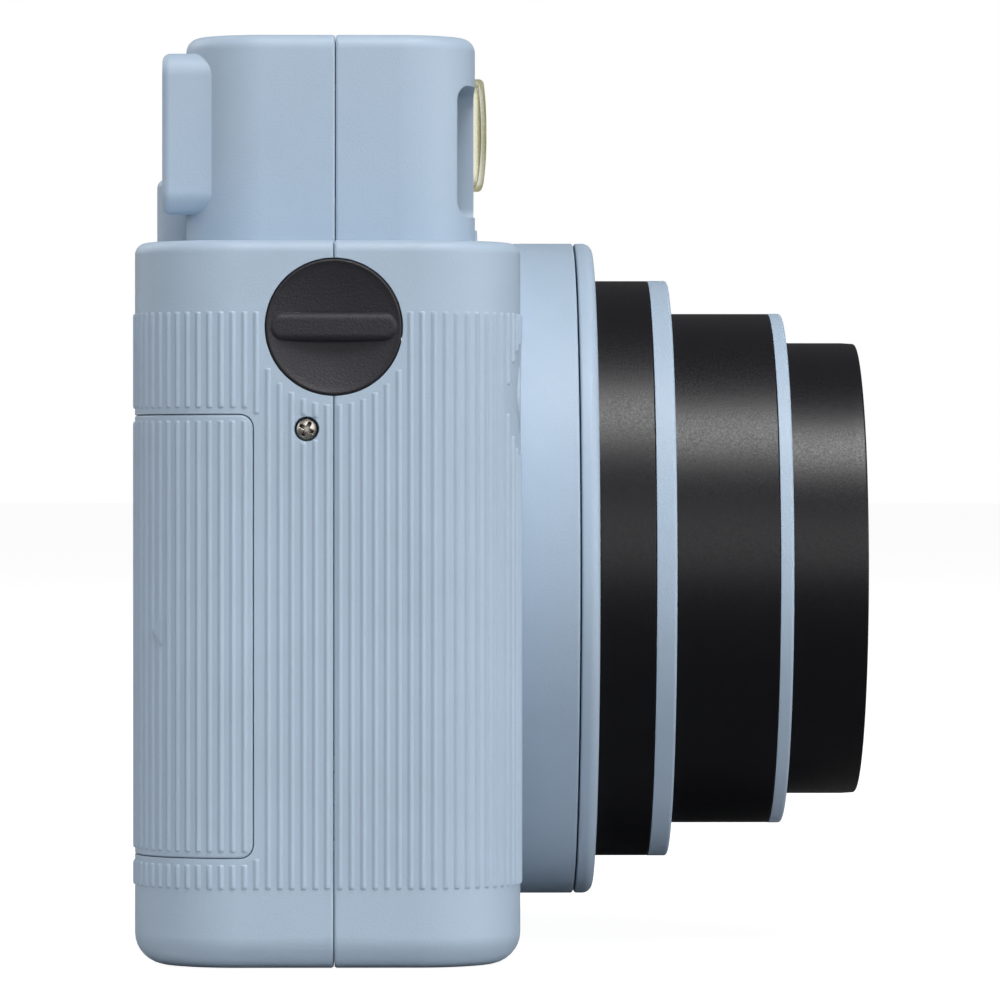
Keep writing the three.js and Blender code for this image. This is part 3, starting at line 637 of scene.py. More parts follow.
BODY_RECT = (-SIDE, SIDE, -BACK, BACK)


def body_block(name, inset=0.0, low=0.0, high=HEIGHT, fillets=(BASE_FILLET, TOP_FILLET)):
    a0, a1, b0, b1 = BODY_RECT
    rect = (a0 + inset, a1 - inset, b0 + inset, b1 - inset)
    return block(name, rect, CORNER - inset, (low, high), fillets, steps=22, edge_steps=8)


def shrink(rect, inset):
    return (rect[0] + inset, rect[1] - inset, rect[2] + inset, rect[3] - inset)


def hump_block(name, inset=0.0):
    return block(name, shrink(HUMP["rect"], inset), HUMP["radius"] - inset, (HEIGHT - 8, TOP - inset),
                 (0, HUMP["fillet"]), steps=20, edge_steps=8)


def outside():
    body = body_block("outside")
    hump = hump_block("hump")
    counter = block("counter", COUNTER["rect"], COUNTER["radius"], (HEIGHT - 6, COUNTER["top"]),
                    (0, COUNTER["fillet"]), steps=12)
    eyepiece = block("eyepiece", EYEPIECE["rect"], EYEPIECE["radius"], (9, EYEPIECE["back"]),
                     (0, EYEPIECE["fillet"]), "y", steps=12)
    middle = (EYEPIECE["rect"][2] + EYEPIECE["rect"][3]) / 2 * MM
    for vertex in eyepiece.data.vertices:
        if vertex.co.z < middle:
            vertex.co.z += 0.05 * (vertex.co.x - EYEPIECE["rect"][0] * MM)
    inner, outer, front = COLLAR["inner"], COLLAR["outer"], COLLAR["front"]
    collar = turned("collar", [(inner, front), (outer, front), (outer, front + 2.5), (inner, front + 2.5)],
                    LENS_AXIS)
    boolean(collar, tool_box("collar_zone", (-40, -30, HEIGHT - 0.4), (40, 30, 130)), "INTERSECT")
    return join(body, ribs("ribs", shell_rib_spans), hump, counter, eyepiece, collar)


def inside():
    body = body_block("inside", WALL, WALL, HEIGHT - WALL, (0.5, 0.5))
    hump = block("hump_room", shrink(HUMP["rect"], WALL), HUMP["radius"] - WALL,
                 (HEIGHT - 7, TOP - WALL), steps=12)
    counter = block("counter_room", shrink(COUNTER["rect"], WALL), 2,
                    (HEIGHT - 5, COUNTER["top"] - WALL), steps=6)
    return join(body, hump, counter)


def window_tool(name, rect, radius, depths, growth=0.0):
    return block(name, shrink(rect, -growth), radius + growth, depths, axis="y", steps=8)


def sight_rect(growth):
    half_width = SIGHT["width"] / 2 + growth
    half_height = SIGHT["height"] / 2 + growth
    return (SIGHT["x"] - half_width, SIGHT["x"] + half_width,
            SIGHT["z"] - half_height, SIGHT["z"] + half_height)


def peg(name, centre, radius, ends, axis="y", steps=64):
    return turned(name, [(0, ends[0]), (radius, ends[0]), (radius, ends[1]), (0, ends[1])],
                  centre, axis, steps)


def door_tool(name, growth):
    """Outline of the battery door in the side view, as a cutter through the rear right corner."""
    rect = (door_low.y - growth, BACK + 8, door_low.z - growth, door_high.z + growth)
    return block(name, rect, 1.7 + growth, (-SIDE - 5, door_high.x + growth), axis="x", steps=8)


def cover_tool(name, growth):
    right = HINGE[0] + HINGE_ROLL + growth + 0.05
    rect = (cover_low.x - growth, right, cover_low.z - growth, cover_high.z + growth)
    return block(name, rect, 1.2, (cover_low.y - 2, BACK + 5), axis="y", steps=6)


def shell_openings():
    front = -BACK
    hump_front = HUMP["rect"][2]
    tools = [
        peg("lens_hole", LENS_AXIS, SPIGOT + 0.3, (front - 1, front + 3), steps=128),
        peg("button_hole", BUTTON_AXIS, BUTTON["radius"] + 0.2, (front - 1, front + 8)),
        turned("dish", [(0, front - 3), (BUTTON["dish"], front - 3), (BUTTON["dish"], front),
                        (BUTTON["dish"] - 0.3, front + BUTTON["seat"]), (0, front + BUTTON["seat"])],
               BUTTON_AXIS, steps=96),
        window_tool("finder_hole", FINDER, 2, (hump_front - 5, hump_front + 4)),
        window_tool("flash_hole", FLASH, 2, (hump_front - 2, hump_front + 3)),
        window_tool("sensor_hole", SENSOR, 1.5, (hump_front - 2, hump_front + 3)),
        block("sight_hole", sight_rect(0.1), 2.1, (HUMP["rect"][3] - 4, EYEPIECE["back"] + 1), axis="y"),
        door_tool("door_hole", 0.09),
        cover_tool("cover_hole", 0.2),
        tool_box("exit_slot", (SIDE - 4, EXIT[0], 12), (SIDE + 1, EXIT[1], 87)),
        window_tool("counter_hole", COUNTER_WINDOW, 0.8, (COUNTER["rect"][3] - 3, BACK + 1)),
        peg("hinge_bore", (*HINGE, 0), PIN_BORE, (3.5, 90.5), "z", 24),
    ]
    for wall in (-SIDE, SIDE):
        screw = (0, SCREW_Y, SCREW_Z)
        tools += [peg("lug_hole", (0, SEAM, LUG_Z), LUG_RADIUS + 0.12, (wall - 4, wall + 4), "x", 96),
                  peg("screw_hole", screw, 1.0, (wall - 4, wall + 4), "x", 32),
                  peg("screw_sink", screw, SCREW_RADIUS + 0.12, (wall - 0.9, wall + 0.9), "x", 48)]
    return tools


def seam_outline(inset, y):
    """Outline of the body and hump in the plane of the seam, moved inwards by inset."""
    b, t, h = BASE_FILLET, TOP_FILLET, HUMP["fillet"]
    left, right = HUMP["rect"][0] + inset, HUMP["rect"][1] - inset
    side, low, high, top = SIDE - inset, inset, HEIGHT - inset, TOP - inset
    points = arc(side - b, low + b, b, -QUARTER, 0, 6) + arc(side - t, high - t, t, 0, QUARTER, 5)
    points += [(right, high)] + arc(right - h, top - h, h, 0, QUARTER, 5)
    points += arc(left + h, top - h, h, QUARTER, pi, 5) + [(left, high)]
    points += arc(-side + t, high - t, t, QUARTER, pi, 5)
    points += arc(-side + b, low + b, b, pi, pi + QUARTER, 6)
    return [(x, y, z) for x, z in points]


def seam_groove():
    """Ring with a V-shaped inner edge that breaks both edges of the seam."""
    half, deep = 0.32, 0.2
    ring = tool_box("seam_groove", (-SIDE - 5, SEAM - half, -5), (SIDE + 5, SEAM + half, TOP + 5))
    core = loft("seam_core", [seam_outline(-0.02, SEAM - half - 0.02), seam_outline(deep, SEAM),
                              seam_outline(-0.02, SEAM + half + 0.02)])
    return boolean(ring, core)


def build_shells():
    whole = outside()
    boolean(whole, inside())
    hump_front = HUMP["rect"][2]
    sleeve = window_tool("finder_sleeve", FINDER, 2, (hump_front + 1, hump_front + 3.2), 0.9)
    join(whole, boolean(sleeve, hump_block("sleeve_limit", 0.3), "INTERSECT"))
    cut(whole, *shell_openings(), seam_groove())
    half = SEAM_GAP / 2
    rear = copy_of(whole, "shell_rear")
    front = whole
    front.name = "shell_front"
    boolean(front, tool_box("front_half", (-99, -99, -99), (99, SEAM - half, 199)), "INTERSECT")
    boolean(rear, tool_box("rear_half", (-99, SEAM + half, -99), (99, 99, 199)), "INTERSECT")
    finish_piece(front, "front_shell")
    finish_piece(rear, "rear_shell")


def outline_edge(edge):
    """Whether an edge of the door lies between its outer skin and its rim."""
    if len(edge.link_faces) != 2:
        return False
    skin = [face for face in edge.link_faces if faces_out(face)]
    return len(skin) == 1 and edge.calc_face_angle() > radians(50)


def faces_out(face):
    """Whether a face is part of the body's outer surface."""
    centre = face.calc_center_median() / MM
    flat_x, flat_y = SIDE - CORNER, BACK - CORNER
    past = Vector((max(abs(centre.x) - flat_x, 0), max(abs(centre.y) - flat_y, 0)))
    return past.length > CORNER - 0.25 and abs(face.normal.z) < 0.1


def round_outline(door, radius):
    work = bmesh.new()
    work.from_mesh(door.data)
    work.normal_update()
    bmesh.ops.dissolve_degenerate(work, edges=work.edges, dist=1e-6)
    edges = [edge for edge in work.edges if outline_edge(edge)]
    bmesh.ops.bevel(work, geom=edges, offset=radius * MM, segments=4, profile=0.5, affect="EDGES",
                    clamp_overlap=False)
    bmesh.ops.remove_doubles(work, verts=work.verts, dist=1e-6)
    bmesh.ops.triangulate(work, faces=work.faces)
    work.to_mesh(door.data)
    work.free()


def door_mark():
    """Small raised triangle near the door's rear edge; it points the way the door comes off."""
    centre, normal = perimeter(-1, 23.3)
    tangent = Vector((-normal.y, normal.x)) * -1
    rings = []
    for out, size in ((-0.5, 1.0), (0.22, 1.0), (0.3, 0.9)):
        ring = []
        for along, up in ((0.95 * size, 0), (-0.75 * size, 1.7 * size), (-0.75 * size, -1.7 * size)):
            spot = centre + tangent * along + normal * out
            ring.append((spot.x, spot.y, MARK_Z + up))
        rings.append(ring)
    return loft("door_mark", rings)


def build_battery_door():
    door = body_block("battery_door_skin")
    boolean(door, body_block("door_room", WALL - 0.1, -5, HEIGHT + 5, (0, 0)))
    boolean(door, door_tool("door_outline", 0), "INTERSECT")
    round_outline(door, 0.28)
    join(door, ribs("door_ribs", door_rib_spans, (-1,)), door_mark())
    finish_piece(door, "battery_door")


def build_back_cover():
    """Flat cover with a rolled hinge edge, a window, a latch well and softly rounded edges."""
    low, high = cover_low, cover_high
    sheet = block("cover_sheet", (low.x, HINGE[0], low.z, high.z), 1.3, (low.y, BACK), (0.3, 0.35), "y", 6, 4)
    straight = tool_box("straight", (HINGE[0] - 4, low.y + 0.02, low.z), (HINGE[0], BACK - 0.02, high.z))
    barrel = peg("barrel", (*HINGE, 0), HINGE_ROLL, (low.z, high.z), "z", 48)
    join(sheet, straight, barrel)
    window_low, window_high = node_box("film_window")
    latch_low, latch_high = node_box("door_latch")
    window = front_rect(window_low, window_high)
    well = (latch_low.x - 0.3, latch_high.x + 0.3, latch_low.z - 2, latch_high.z + 8)
    cut(sheet,
        peg("pin_bore", (*HINGE, 0), PIN_BORE, (low.z - 1, high.z + 1), "z", 24),
        window_tool("window_hole", window, 1.0, (low.y - 1, BACK + 1), 0.2),
        window_tool("latch_well", well, 1.8, (BACK - 1.5, BACK + 1)))
    finish_piece(sheet, "back_cover")
    pane = window_tool("film_window_pane", window, 0.9, (low.y + 0.5, BACK - 0.4))
    finish_piece(pane, "film_window")
    latch = plate("latch_slider", "door_latch", 1.7, (0, 0.4), 10, 5)
    for i in range(4):
        z = latch_low.z + 4 + i * 1.8
        groove = block("latch_groove", (latch_low.x - 1, latch_high.x + 1, z, z + 0.7), 0.3,
                       (latch_high.y - 0.3, latch_high.y + 1), axis="y", steps=4)
        boolean(latch, groove)
    finish_piece(latch, "door_latch")


# ------------------------------------------------------------------ lens


def ring_profile(outer, inner, front, back, front_edge, back_edge=0.15):
    """Closed profile of a tube about the lens axis with rounded outer edges; the front is the lower Y."""
    profile = [(inner + 0.12, front), (inner, front + 0.12), (inner, back)]
    profile += corner_arc(outer, back, back_edge, (1, 1), 3)[::-1]
    profile += corner_arc(outer, front, front_edge, (1, -1), 7)
    return profile


def lens_part(name, profile, node, steps=192, angle=32):
    finish_piece(turned(name, profile, LENS_AXIS, steps=steps), node, angle)


def build_lens():
    ring_low, ring_high = node_box("lens_ring")
    bore = node_box("barrel_1")[1].x + 0.3
    outer = drum_high.x
    shoulder = -BACK - 0.02
    drum = [(bore, drum_low.y), (bore, drum_high.y), (SPIGOT, drum_high.y), (SPIGOT, shoulder),
            (outer, shoulder)]
    drum += corner_arc(outer, drum_low.y, 0.3, (1, -1), 4)
    lens_part("drum", drum, "lens_drum")
    ring = ring_profile(ring_high.x, bore, ring_low.y, drum_low.y - 0.2, 1.3, 0.3)
    lens_part("turning_ring", ring, "lens_ring")
    for name in ("barrel_1", "barrel_2"):
        build_barrel(name)
    build_last_barrel()


def build_barrel(name):
    low, high = node_box(name)
    ring_low, ring_high = node_box(name + "_ring")
    outer = ring_high.x
    inner = outer - BARREL_WALL
    tube = [(inner, low.y), (inner, high.y)]
    if high.x > outer + 0.1:
        tube += [(high.x, high.y), (high.x, high.y - FLANGE), (outer, high.y - FLANGE)]
    else:
        tube += [(outer, high.y)]
    tube += [(outer, low.y + 0.12), (outer - 0.12, low.y)]
    lens_part(name + "_tube", tube, name)
    mouth = (node_box("barrel_2_ring")[1].x if name == "barrel_1" else LAST_BARREL) + 0.3
    band = ring_profile(outer + 0.03, mouth, ring_low.y, low.y - 0.02, 0.4, 0.05)
    lens_part(name + "_band", band, name + "_ring")


def build_last_barrel():
    """Front barrel with its tapered lip, stepped face, glass and mirror."""
    low, high = node_box("barrel_3")
    outer = LAST_BARREL
    inner = outer - BARREL_WALL
    tube = [(inner, low.y + 0.6), (inner, high.y), (high.x, high.y), (high.x, high.y - FLANGE),
            (outer, high.y - FLANGE), (outer, low.y + 1.8)]
    tube += corner_arc(outer - 0.1, low.y, 0.28, (1, -1), 6)
    tube += [(inner + 0.4, low.y)]
    lens_part("barrel_3_tube", tube, "barrel_3")
    build_lens_face()


def build_lens_face():
    low, high = node_box("lens_face")
    glass_radius = node_box("front_lens")[1].x
    mirror_low, mirror_high = node_box("selfie_mirror")
    rim = high.x
    mouth = glass_radius + 0.4
    steps_in = 5
    profile = [(rim, high.y), (rim, low.y), (rim - 1.2, low.y)]
    for i in range(steps_in):
        radius = rim - 2.0 - (rim - 2.0 - mouth) * 0.42 * i / steps_in
        depth = low.y + 0.25 + 0.28 * i
        profile += [(radius, depth - 0.14), (radius, depth)]
    profile += [(mouth + 5.5, low.y + 1.5), (mouth + 0.8, low.y + 2.4), (mouth, low.y + 2.5), (mouth, high.y)]
    face = turned("lens_surround", profile, LENS_AXIS, steps=160)
    mirror_x = (mirror_low.x + mirror_high.x) / 2
    mirror_z = (mirror_low.z + mirror_high.z) / 2
    cut(face, peg("mirror_seat", (mirror_x, 0, mirror_z), 4.5, (low.y - 2, low.y + 1.9), steps=64))
    finish_piece(face, "lens_face")
    radius = (mirror_high.x - mirror_low.x) / 2
    dome = [(0, mirror_high.y)] + [(radius, mirror_high.y), (radius, mirror_low.y + 0.5)]
    dome += [(radius * cos(QUARTER * i / 8), mirror_low.y + 0.5 - 0.5 * sin(QUARTER * i / 8))
             for i in range(1, 8)]
    dome += [(0, mirror_low.y)]
    mirror = turned("portrait_mirror", dome, (mirror_x, 0, mirror_z), steps=72)
    finish_piece(mirror, "selfie_mirror")
    build_glass("front_lens", 1.6, 0.3)
    build_glass("rear_lens", 0.5, 1.2)
    cell_low, cell_high = node_box("lens_cell")
    cell = [(glass_radius + 0.25, cell_low.y), (glass_radius + 0.25, cell_high.y),
            (cell_high.x, cell_high.y), (cell_high.x, cell_low.y)]
    lens_part("lens_cell_ring", cell, "lens_cell", 96)


def build_glass(node, front_bulge, back_bulge):
    """Lens element with two curved faces and a narrow ground edge."""
    low, high = node_box(node)
    radius = high.x
    front = low.y + front_bulge
    back = high.y - back_bulge
    radii = [radius * i / 10 for i in range(11)]
    profile = [(r, front - front_bulge * (1 - (r / radius) ** 2)) for r in radii]
    profile += [(r, back + back_bulge * (1 - (r / radius) ** 2)) for r in reversed(radii)]
    lens_part(node + "_glass", profile, node, 96, angle=40)


# ------------------------------------------------------------------ hump fittings


def build_flash():
    low, high = node_box("flash_window")
    left, right, bottom, top = shrink(FLASH, 0.08)
    rect = (left, right, bottom + 0.6, top)
    place = AXIS_MAP["y"]
    face = HUMP["rect"][2]
    edge, crown, wall = 0.7, 0.4, 0.7
    shoulder = low.y + crown
    skin = [(0.0, high.y), (0.0, face - 0.3)]
    skin += [(edge * (1 - cos(QUARTER * i / 6)), shoulder + edge * (1 - sin(QUARTER * i / 6)))
             for i in range(7)]
    skin += [(edge + 6.4 * i / 6, shoulder - crown * (1 - (1 - i / 6) ** 2)) for i in range(1, 7)]
    room = [(0.0 + wall, high.y + 1)] + [(inset + wall * 0.7, y + wall) for inset, y in skin[2:-1]]
    window = loft("flash_dome", [[place(a, b, y) for a, b in rounded_rect(rect, 2.6, inset, 8)]
                                 for inset, y in skin])
    boolean(window, loft("flash_room", [[place(a, b, y) for a, b in rounded_rect(rect, 2.6, inset, 8)]
                                        for inset, y in room]))
    finish_piece(window, "flash_window", angle=45)
    pane = window_tool("sensor_pane", shrink(SENSOR, 0.25), 1.3, (face + 0.35, face + 1.8))
    finish_piece(pane, "sensor_window")
    build_reflector()


def build_reflector():
    """Trough-shaped bright reflector, open to the front."""
    low, high = node_box("flash_reflector")
    outer = plate("reflector_shell", "flash_reflector", 2, (0, 2.5), 8)
    inner = block("reflector_room", shrink(front_rect(low, high), 0.8), 1.6, (low.y - 1, high.y - 1),
                  (0, 3.5), "y", 8)
    boolean(outer, inner)
    finish_piece(outer, "flash_reflector")


def build_viewfinder():
    low, high = node_box("finder_front_lens")
    pane = block("finder_glass", shrink(FINDER, 0.3), 1.8, (low.y + 0.4, high.y), (0.25, 0), "y", 8, 3)
    finish_piece(pane, "finder_front_lens")
    frame_low, frame_high = node_box("eyepiece_frame")
    rect = sight_rect(-0.1)
    frame = block("eyecup", rect, 2, (frame_low.y, frame_high.y), (0, 0.5), "y", 10, 5)
    cut(frame,
        block("eyecup_mouth", sight_rect(-2), 1.4, (frame_low.y - 1, frame_high.y + 1), axis="y"),
        block("eyecup_flare", sight_rect(-1.3), 1.7, (frame_high.y - 1.2, frame_high.y + 1), axis="y"),
        block("lens_seat", sight_rect(-1.0), 1.6, (17.6, 20), axis="y"))
    finish_piece(frame, "eyepiece_frame")
    finish_piece(plate("eyepiece_glass", "eyepiece_lens", 1.2, (0.2, 0.2), 6, 3), "eyepiece_lens")


def build_button():
    low, high = node_box("shutter_button")
    radius = BUTTON["radius"]
    profile = [(0, high.y), (radius + 0.6, high.y), (radius + 0.6, high.y - 1), (radius, high.y - 1)]
    profile += corner_arc(radius, low.y, 0.55, (1, -1), 6)
    profile += [(radius - 1.2, low.y + 0.04), (radius - 2.2, low.y + 0.18), (radius - 3.4, low.y + 0.27)]
    profile += [(0, low.y + 0.3)]
    finish_piece(turned("shutter_release", profile, BUTTON_AXIS, steps=128), "shutter_button")


# ------------------------------------------------------------------ side fittings


def build_lug(side, node):
    """Grained disc, dished behind a rounded bar that a strap loops under."""
    face = SIDE + 0.1
    deep = 1.4
    profile = [(0, face - 3.2), (LUG_RADIUS, face - 3.2)]
    profile += corner_arc(LUG_RADIUS, face, 0.3, (1, 1), 4)
    rim = LUG_RADIUS - 0.35
    for i in range(13):
        along = i / 12
        profile.append((rim * (1 - along), face - 0.05 - deep * (1 - (1 - along) ** 2)))
    disc = turned("lug", [(r, side * h) for r, h in profile], (0, SEAM, LUG_Z), "x", 128)
    out, back = (side * (face + LUG_BAR["proud"]), side * (face + LUG_BAR["proud"] - LUG_BAR["thick"]))
    fillets = (LUG_BAR["back_edge"], LUG_BAR["front_edge"])
    if side < 0:
        fillets = fillets[::-1]
    half_long, half_high = LUG_BAR["half_long"], LUG_BAR["half_high"]
    rect = (SEAM - half_long, SEAM + half_long, LUG_Z - half_high, LUG_Z + half_high)
    join(disc, block("bar", rect, half_high, sorted((out, back)), fillets, "x", 10, 8))
    disc.name = "strap_lug_" + ("l" if side > 0 else "r")
    finish_piece(disc, node, angle=40)


def build_screw(side, node):
    """Domed cross-head screw."""
    face = SIDE - 0.1
    head = [(0, face - 3), (0.85, face - 3), (0.85, face - 0.75), (SCREW_RADIUS, face - 0.75),
            (SCREW_RADIUS, face - 0.4)]
    for i in range(1, 7):
        angle = QUARTER * i / 6
        head.append((SCREW_RADIUS * cos(angle), face - 0.4 + 0.4 * sin(angle)))
    screw = turned("screw", [(r, side * h) for r, h in head], (0, SCREW_Y, SCREW_Z), "x", 48)
    outer = face + 0.3
    for turn in (0.5, 0.5 + QUARTER):
        slot = block("cross", (-0.24, 0.24, -1.0, 1.0), 0.16, (0, 1.1), axis="x", steps=3)
        slot.data.transform(Matrix.Rotation(turn, 4, "X"))
        start = (outer - 1.1) if side > 0 else -outer
        slot.data.transform(Matrix.Translation(Vector((start, SCREW_Y, SCREW_Z)) * MM))
        boolean(screw, slot)
    screw.name = node + "_head"
    finish_piece(screw, node)


# ------------------------------------------------------------------ film counter


def build_counter():
    low, high = node_box("counter_disc")
    centre = DIAL_AXIS
    profile = [(0, low.y), (1.6, low.y), (1.6, high.y - 1), (6.3, high.y - 1), (6.3, high.y - 0.15),
               (6.15, high.y), (0, high.y)]
    disc = turned("counter_dial", profile, centre, steps=72)
    for i in range(10):
        angle = QUARTER + i * radians(30)
        mark = block("tick", (-0.12, 0.12, 4.6, 5.8), 0.05, (high.y - 0.12, high.y + 0.3), axis="y", steps=2)
        mark.data.transform(Matrix.Rotation(angle - QUARTER, 4, "Y"))
        mark.data.transform(Matrix.Translation(Vector(centre) * MM))
        boolean(disc, mark)
    finish_piece(disc, "counter_disc")
    finish_piece(plate("counter_pane", "counter_window", 0.7, (0, 0.2), 5, 3), "counter_window")


# ------------------------------------------------------------------ inside parts


def upright(node):
    """Box, axis point and radius of a CAD node that is a body of revolution about Z."""
    low, high = node_box(node)
    return low, high, ((low.x + high.x) / 2, (low.y + high.y) / 2, 0), (high.x - low.x) / 2


def build_batteries():
    for index in (1, 2):
        low, high, axis, radius = upright(f"battery_{index}")
        shoulder = high.z - 0.7
        profile = [(0, low.z), (radius - 1.6, low.z), (radius - 1.3, low.z + 0.25)]
        profile += corner_arc(radius, low.z, 0.7, (1, -1), 4)[::-1]
        neck = radius - 0.25
        profile += [(radius, shoulder - 1.6), (neck, shoulder - 1.3), (neck, shoulder - 1.0)]
        profile += corner_arc(radius - 0.05, shoulder, 0.6, (1, 1), 4)
        profile += [(3.1, shoulder), (2.9, shoulder - 0.2), (2.6, shoulder), (2.6, high.z - 0.15),
                    (2.4, high.z), (0, high.z)]
        finish_piece(turned(f"cell_{index}", profile, axis, "z", 72), f"battery_{index}")


def build_rollers():
    for name in ("front_roller", "rear_roller"):
        low, high, axis, _ = upright(name)
        radius, shaft = 3.5, 1.2
        start, end, edge = 15, 84.5, 0.3
        profile = [(0, low.z), (shaft - 0.15, low.z), (shaft, low.z + 0.15), (shaft, start),
                   (radius - edge, start), (radius, start + edge), (radius, end - edge), (radius - edge, end),
                   (shaft, end), (shaft, high.z - 0.15), (shaft - 0.15, high.z), (0, high.z)]
        finish_piece(turned(name + "_bar", profile, axis, "z", 64), name)


def build_motor():
    low, high, axis, radius = upright("eject_motor")
    profile = [(0, low.z), (radius - 0.6, low.z), (radius, low.z + 0.6), (radius, high.z - 3),
               (radius - 0.3, high.z - 2.8), (radius - 0.3, high.z - 0.8), (radius - 1.1, high.z),
               (2.6, high.z), (2.6, high.z - 0.6), (0, high.z - 0.6)]
    finish_piece(turned("motor_can", profile, axis, "z", 72), "eject_motor")


def build_capacitor():
    low, high, axis, radius = upright("flash_capacitor")
    profile = [(0, low.z), (radius - 0.8, low.z), (radius, low.z + 0.8), (radius, low.z + 2.4),
               (radius - 0.45, low.z + 2.8), (radius, low.z + 3.2)]
    profile += corner_arc(radius, high.z, 0.7, (1, 1), 4)
    profile += [(radius - 1.6, high.z - 0.25), (0, high.z - 0.25)]
    finish_piece(turned("capacitor_can", profile, axis, "z", 64), "flash_capacitor")


def build_board():
    """Circuit board with a few packages."""
    low, high = node_box("main_board")
    board = plate("circuit_board", "main_board", 1.0, (0.1, 0.1), 5, 2)
    rng = random.Random(7)
    for i in range(14):
        width, tall = rng.uniform(1.2, 4.0), rng.uniform(1.2, 4.5)
        x = rng.uniform(low.x + 1, high.x - width - 1)
        z = low.z + 2 + i * (high.z - low.z - 8) / 14
        chip = block("chip", (x, x + width, z, z + min(tall, 2.9)), 0.1,
                     (low.y - rng.uniform(0.4, 0.9), low.y + 0.1), (0.08, 0), "y", 2, 2)
        join(board, chip)
    finish_piece(board, "main_board")


def build_film_pack():
    """Pack case with a picture opening, an exit slot, a claw slot and grooves across its back."""
    low, high = node_box("film_pack")
    rect = front_rect(low, high)
    half = 31                          # half side of the picture opening
    pack = plate("pack_case", "film_pack", 1.6, (0.5, 0.5), 6, 3)
    cut(pack,
        block("pack_room", shrink(rect, 1.5), 1, (low.y + 1.2, high.y - 1.2), axis="y", steps=3),
        block("pack_window", (-half, half, LENS_Z - half, LENS_Z + half), 1.2, (low.y - 1, low.y + 2),
              axis="y", steps=5),
        tool_box("pack_exit", (high.x - 3, 7.3, low.z + 2), (high.x + 1, 8.3, high.z - 2)),
        tool_box("claw_slot", (low.x - 1, low.y - 1, 19.5), (low.x + 3, 8.7, 26.5)))
    for i in range(7):
        z = low.z + 8 + i * 10
        groove = block("pack_groove", (low.x + 6, high.x - 6, z, z + 1.2), 0.5,
                       (high.y - 0.4, high.y + 1), axis="y", steps=3)
        boolean(pack, groove)
    finish_piece(pack, "film_pack")


def keep_cad_nodes():
    """The other CAD nodes stay, with softened edges and the material of their slot."""
    for name, obj in frame["nodes"].items():
        if obj.hide_render:
            continue
        set_material(obj, name)
        bevel = obj.modifiers.new("soft_edges", "BEVEL")
        bevel.width = 0.00012
        bevel.segments = 2
        bevel.limit_method = "ANGLE"
        bevel.angle_limit = radians(40)


# ------------------------------------------------------------------ stage


def area_light(name, location, size, power):
    """Rectangular white light, in metres and watts, aimed at the middle of the camera."""
    data = bpy.data.lights.new(name, "AREA")
    data.shape = "RECTANGLE"
    data.size, data.size_y = size
    data.energy = power
    light = bpy.data.objects.new(name, data)
    light.location = location
    light.rotation_euler = (Vector((0, -0.02, 0.055)) - Vector(location)).to_track_quat("-Z", "Y").to_euler()
    show(light)


def shade_by_ray(tree, seen, unseen, output):
    """Sends one shader to the camera, also through clear plastic, and another to every other ray."""
    path = tree.nodes.new("ShaderNodeLightPath")
    direct = tree.nodes.new("ShaderNodeMath")
    direct.operation = "MAXIMUM"
    tree.links.new(path.outputs["Is Camera Ray"], direct.inputs[0])
    tree.links.new(path.outputs["Is Transmission Ray"], direct.inputs[1])
    mix = tree.nodes.new("ShaderNodeMixShader")
    tree.links.new(direct.outputs["Value"], mix.inputs["Fac"])
    tree.links.new(unseen, mix.inputs[1])
    tree.links.new(seen, mix.inputs[2])
    tree.links.new(mix.outputs["Shader"], output)


def build_floor():
    """White paper that looks evenly lit, bounces some light up and hardly shows in reflections."""
    reach = 30
    mesh = bpy.data.meshes.new("floor")
    mesh.from_pydata([(-reach, -reach, 0), (reach, -reach, 0), (reach, reach, 0), (-reach, reach, 0)], [],
                     [(0, 1, 2, 3)])
    floor = bpy.data.objects.new("floor", mesh)
    floor.location.z = -0.0001
    show(floor)
    paper = Nodes("pale_floor")
    paper.colour((0.25, 0.25, 0.25), 2, 0.004)
    paper.set(Roughness=0.9, Specular_IOR_Level=0.0)
    paper.shader.inputs["Emission Color"].default_value = (1, 1, 1, 1)
    paper.shader.inputs["Emission Strength"].default_value = 0.94
    dim = paper.add("ShaderNodeBsdfDiffuse")
    path = paper.add("ShaderNodeLightPath")
    tone = paper.mix(path.outputs["Is Glossy Ray"], (0.5, 0.5, 0.51, 1), (0.1, 0.1, 0.1, 1))
    paper.link(tone, dim.inputs["Color"])
    output = paper.tree.nodes["Material Output"]
    shade_by_ray(paper.tree, paper.shader.outputs["BSDF"], dim.outputs["BSDF"], output.inputs["Surface"])
    floor.data.materials.append(paper.material)


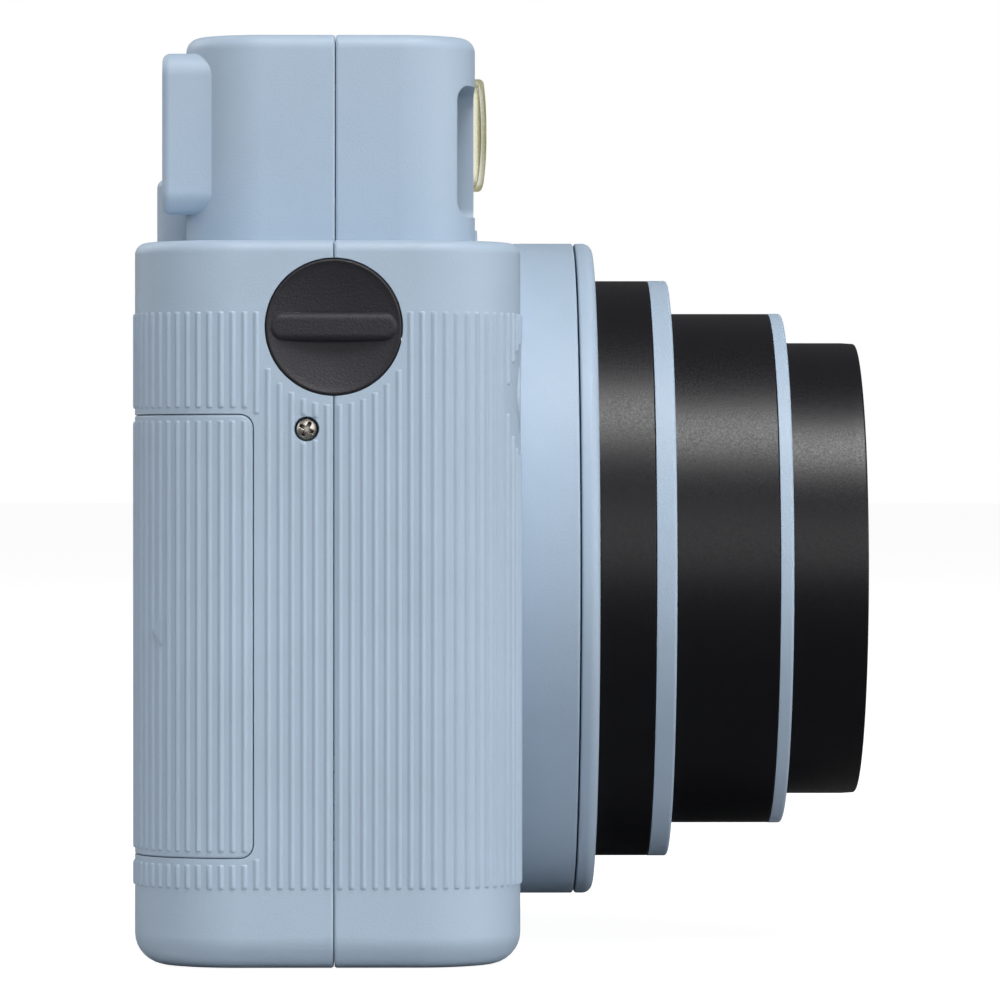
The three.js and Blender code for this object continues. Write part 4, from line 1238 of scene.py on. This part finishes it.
def build_world():
    """White to the camera; as light, a soft dome that is darker below the horizon."""
    world = bpy.data.worlds.new("studio")
    bpy.context.scene.world = world
    world.use_nodes = True
    tree = world.node_tree
    seen = tree.nodes["Background"]
    seen.inputs["Color"].default_value = (1, 1, 1, 1)
    dome = tree.nodes.new("ShaderNodeBackground")
    direction = tree.nodes.new("ShaderNodeTexCoord")
    split = tree.nodes.new("ShaderNodeSeparateXYZ")
    ramp = tree.nodes.new("ShaderNodeMapRange")
    ramp.inputs["From Min"].default_value = -0.25
    ramp.inputs["From Max"].default_value = 0.6
    ramp.inputs["To Min"].default_value = 0.11
    ramp.inputs["To Max"].default_value = 0.14
    tree.links.new(direction.outputs["Generated"], split.inputs["Vector"])
    tree.links.new(split.outputs["Z"], ramp.inputs["Value"])
    tree.links.new(ramp.outputs["Result"], dome.inputs["Strength"])
    shade_by_ray(tree, seen.outputs["Background"], dome.outputs["Background"],
                 tree.nodes["World Output"].inputs["Surface"])


def build_stage():
    build_floor()
    build_world()
    area_light("key", (-0.86, -0.50, 2.13), (1.2, 0.75), 30.5)
    area_light("key_low", (-1.10, -0.50, 2.0), (1.2, 0.75), 12)
    area_light("front_fill", (-0.9, -2.3, 0.25), (1.6, 1.6), 32)
    area_light("side_fill", (-2.3, -0.4, 0.6), (1.6, 1.2), 10)
    area_light("rear_fill", (-1.6, 1.9, 0.6), (1.6, 1.6), 11)
    area_light("back_fill", (1.4, 1.8, 1.2), (1.8, 1.8), 24)


def build_camera():
    data = bpy.data.cameras.new("camera")
    data.sensor_width = 36
    data.lens = 239.8
    camera = bpy.data.objects.new("camera", data)
    camera.location = (-0.900, -0.0092, 0.0601)
    aim = Vector((0, -0.0227, 0.0588))
    camera.rotation_euler = (aim - camera.location).to_track_quat("-Z", "Y").to_euler()
    show(camera)
    bpy.context.scene.camera = camera


for build in (build_shells, build_battery_door, build_back_cover, build_lens, build_flash, build_viewfinder,
              build_button):
    build()
for side, hand in ((-1, "right"), (1, "left")):
    build_lug(side, "strap_lug_" + hand)
for side, hand in ((-1, "right"), (1, "left")):
    build_screw(side, "case_screw_" + hand)
for build in (build_counter, build_batteries, build_rollers, build_motor, build_capacitor, build_board,
              build_film_pack, keep_cad_nodes, build_stage, build_camera):
    build()
bpy.context.scene.view_settings.view_transform = "Standard"
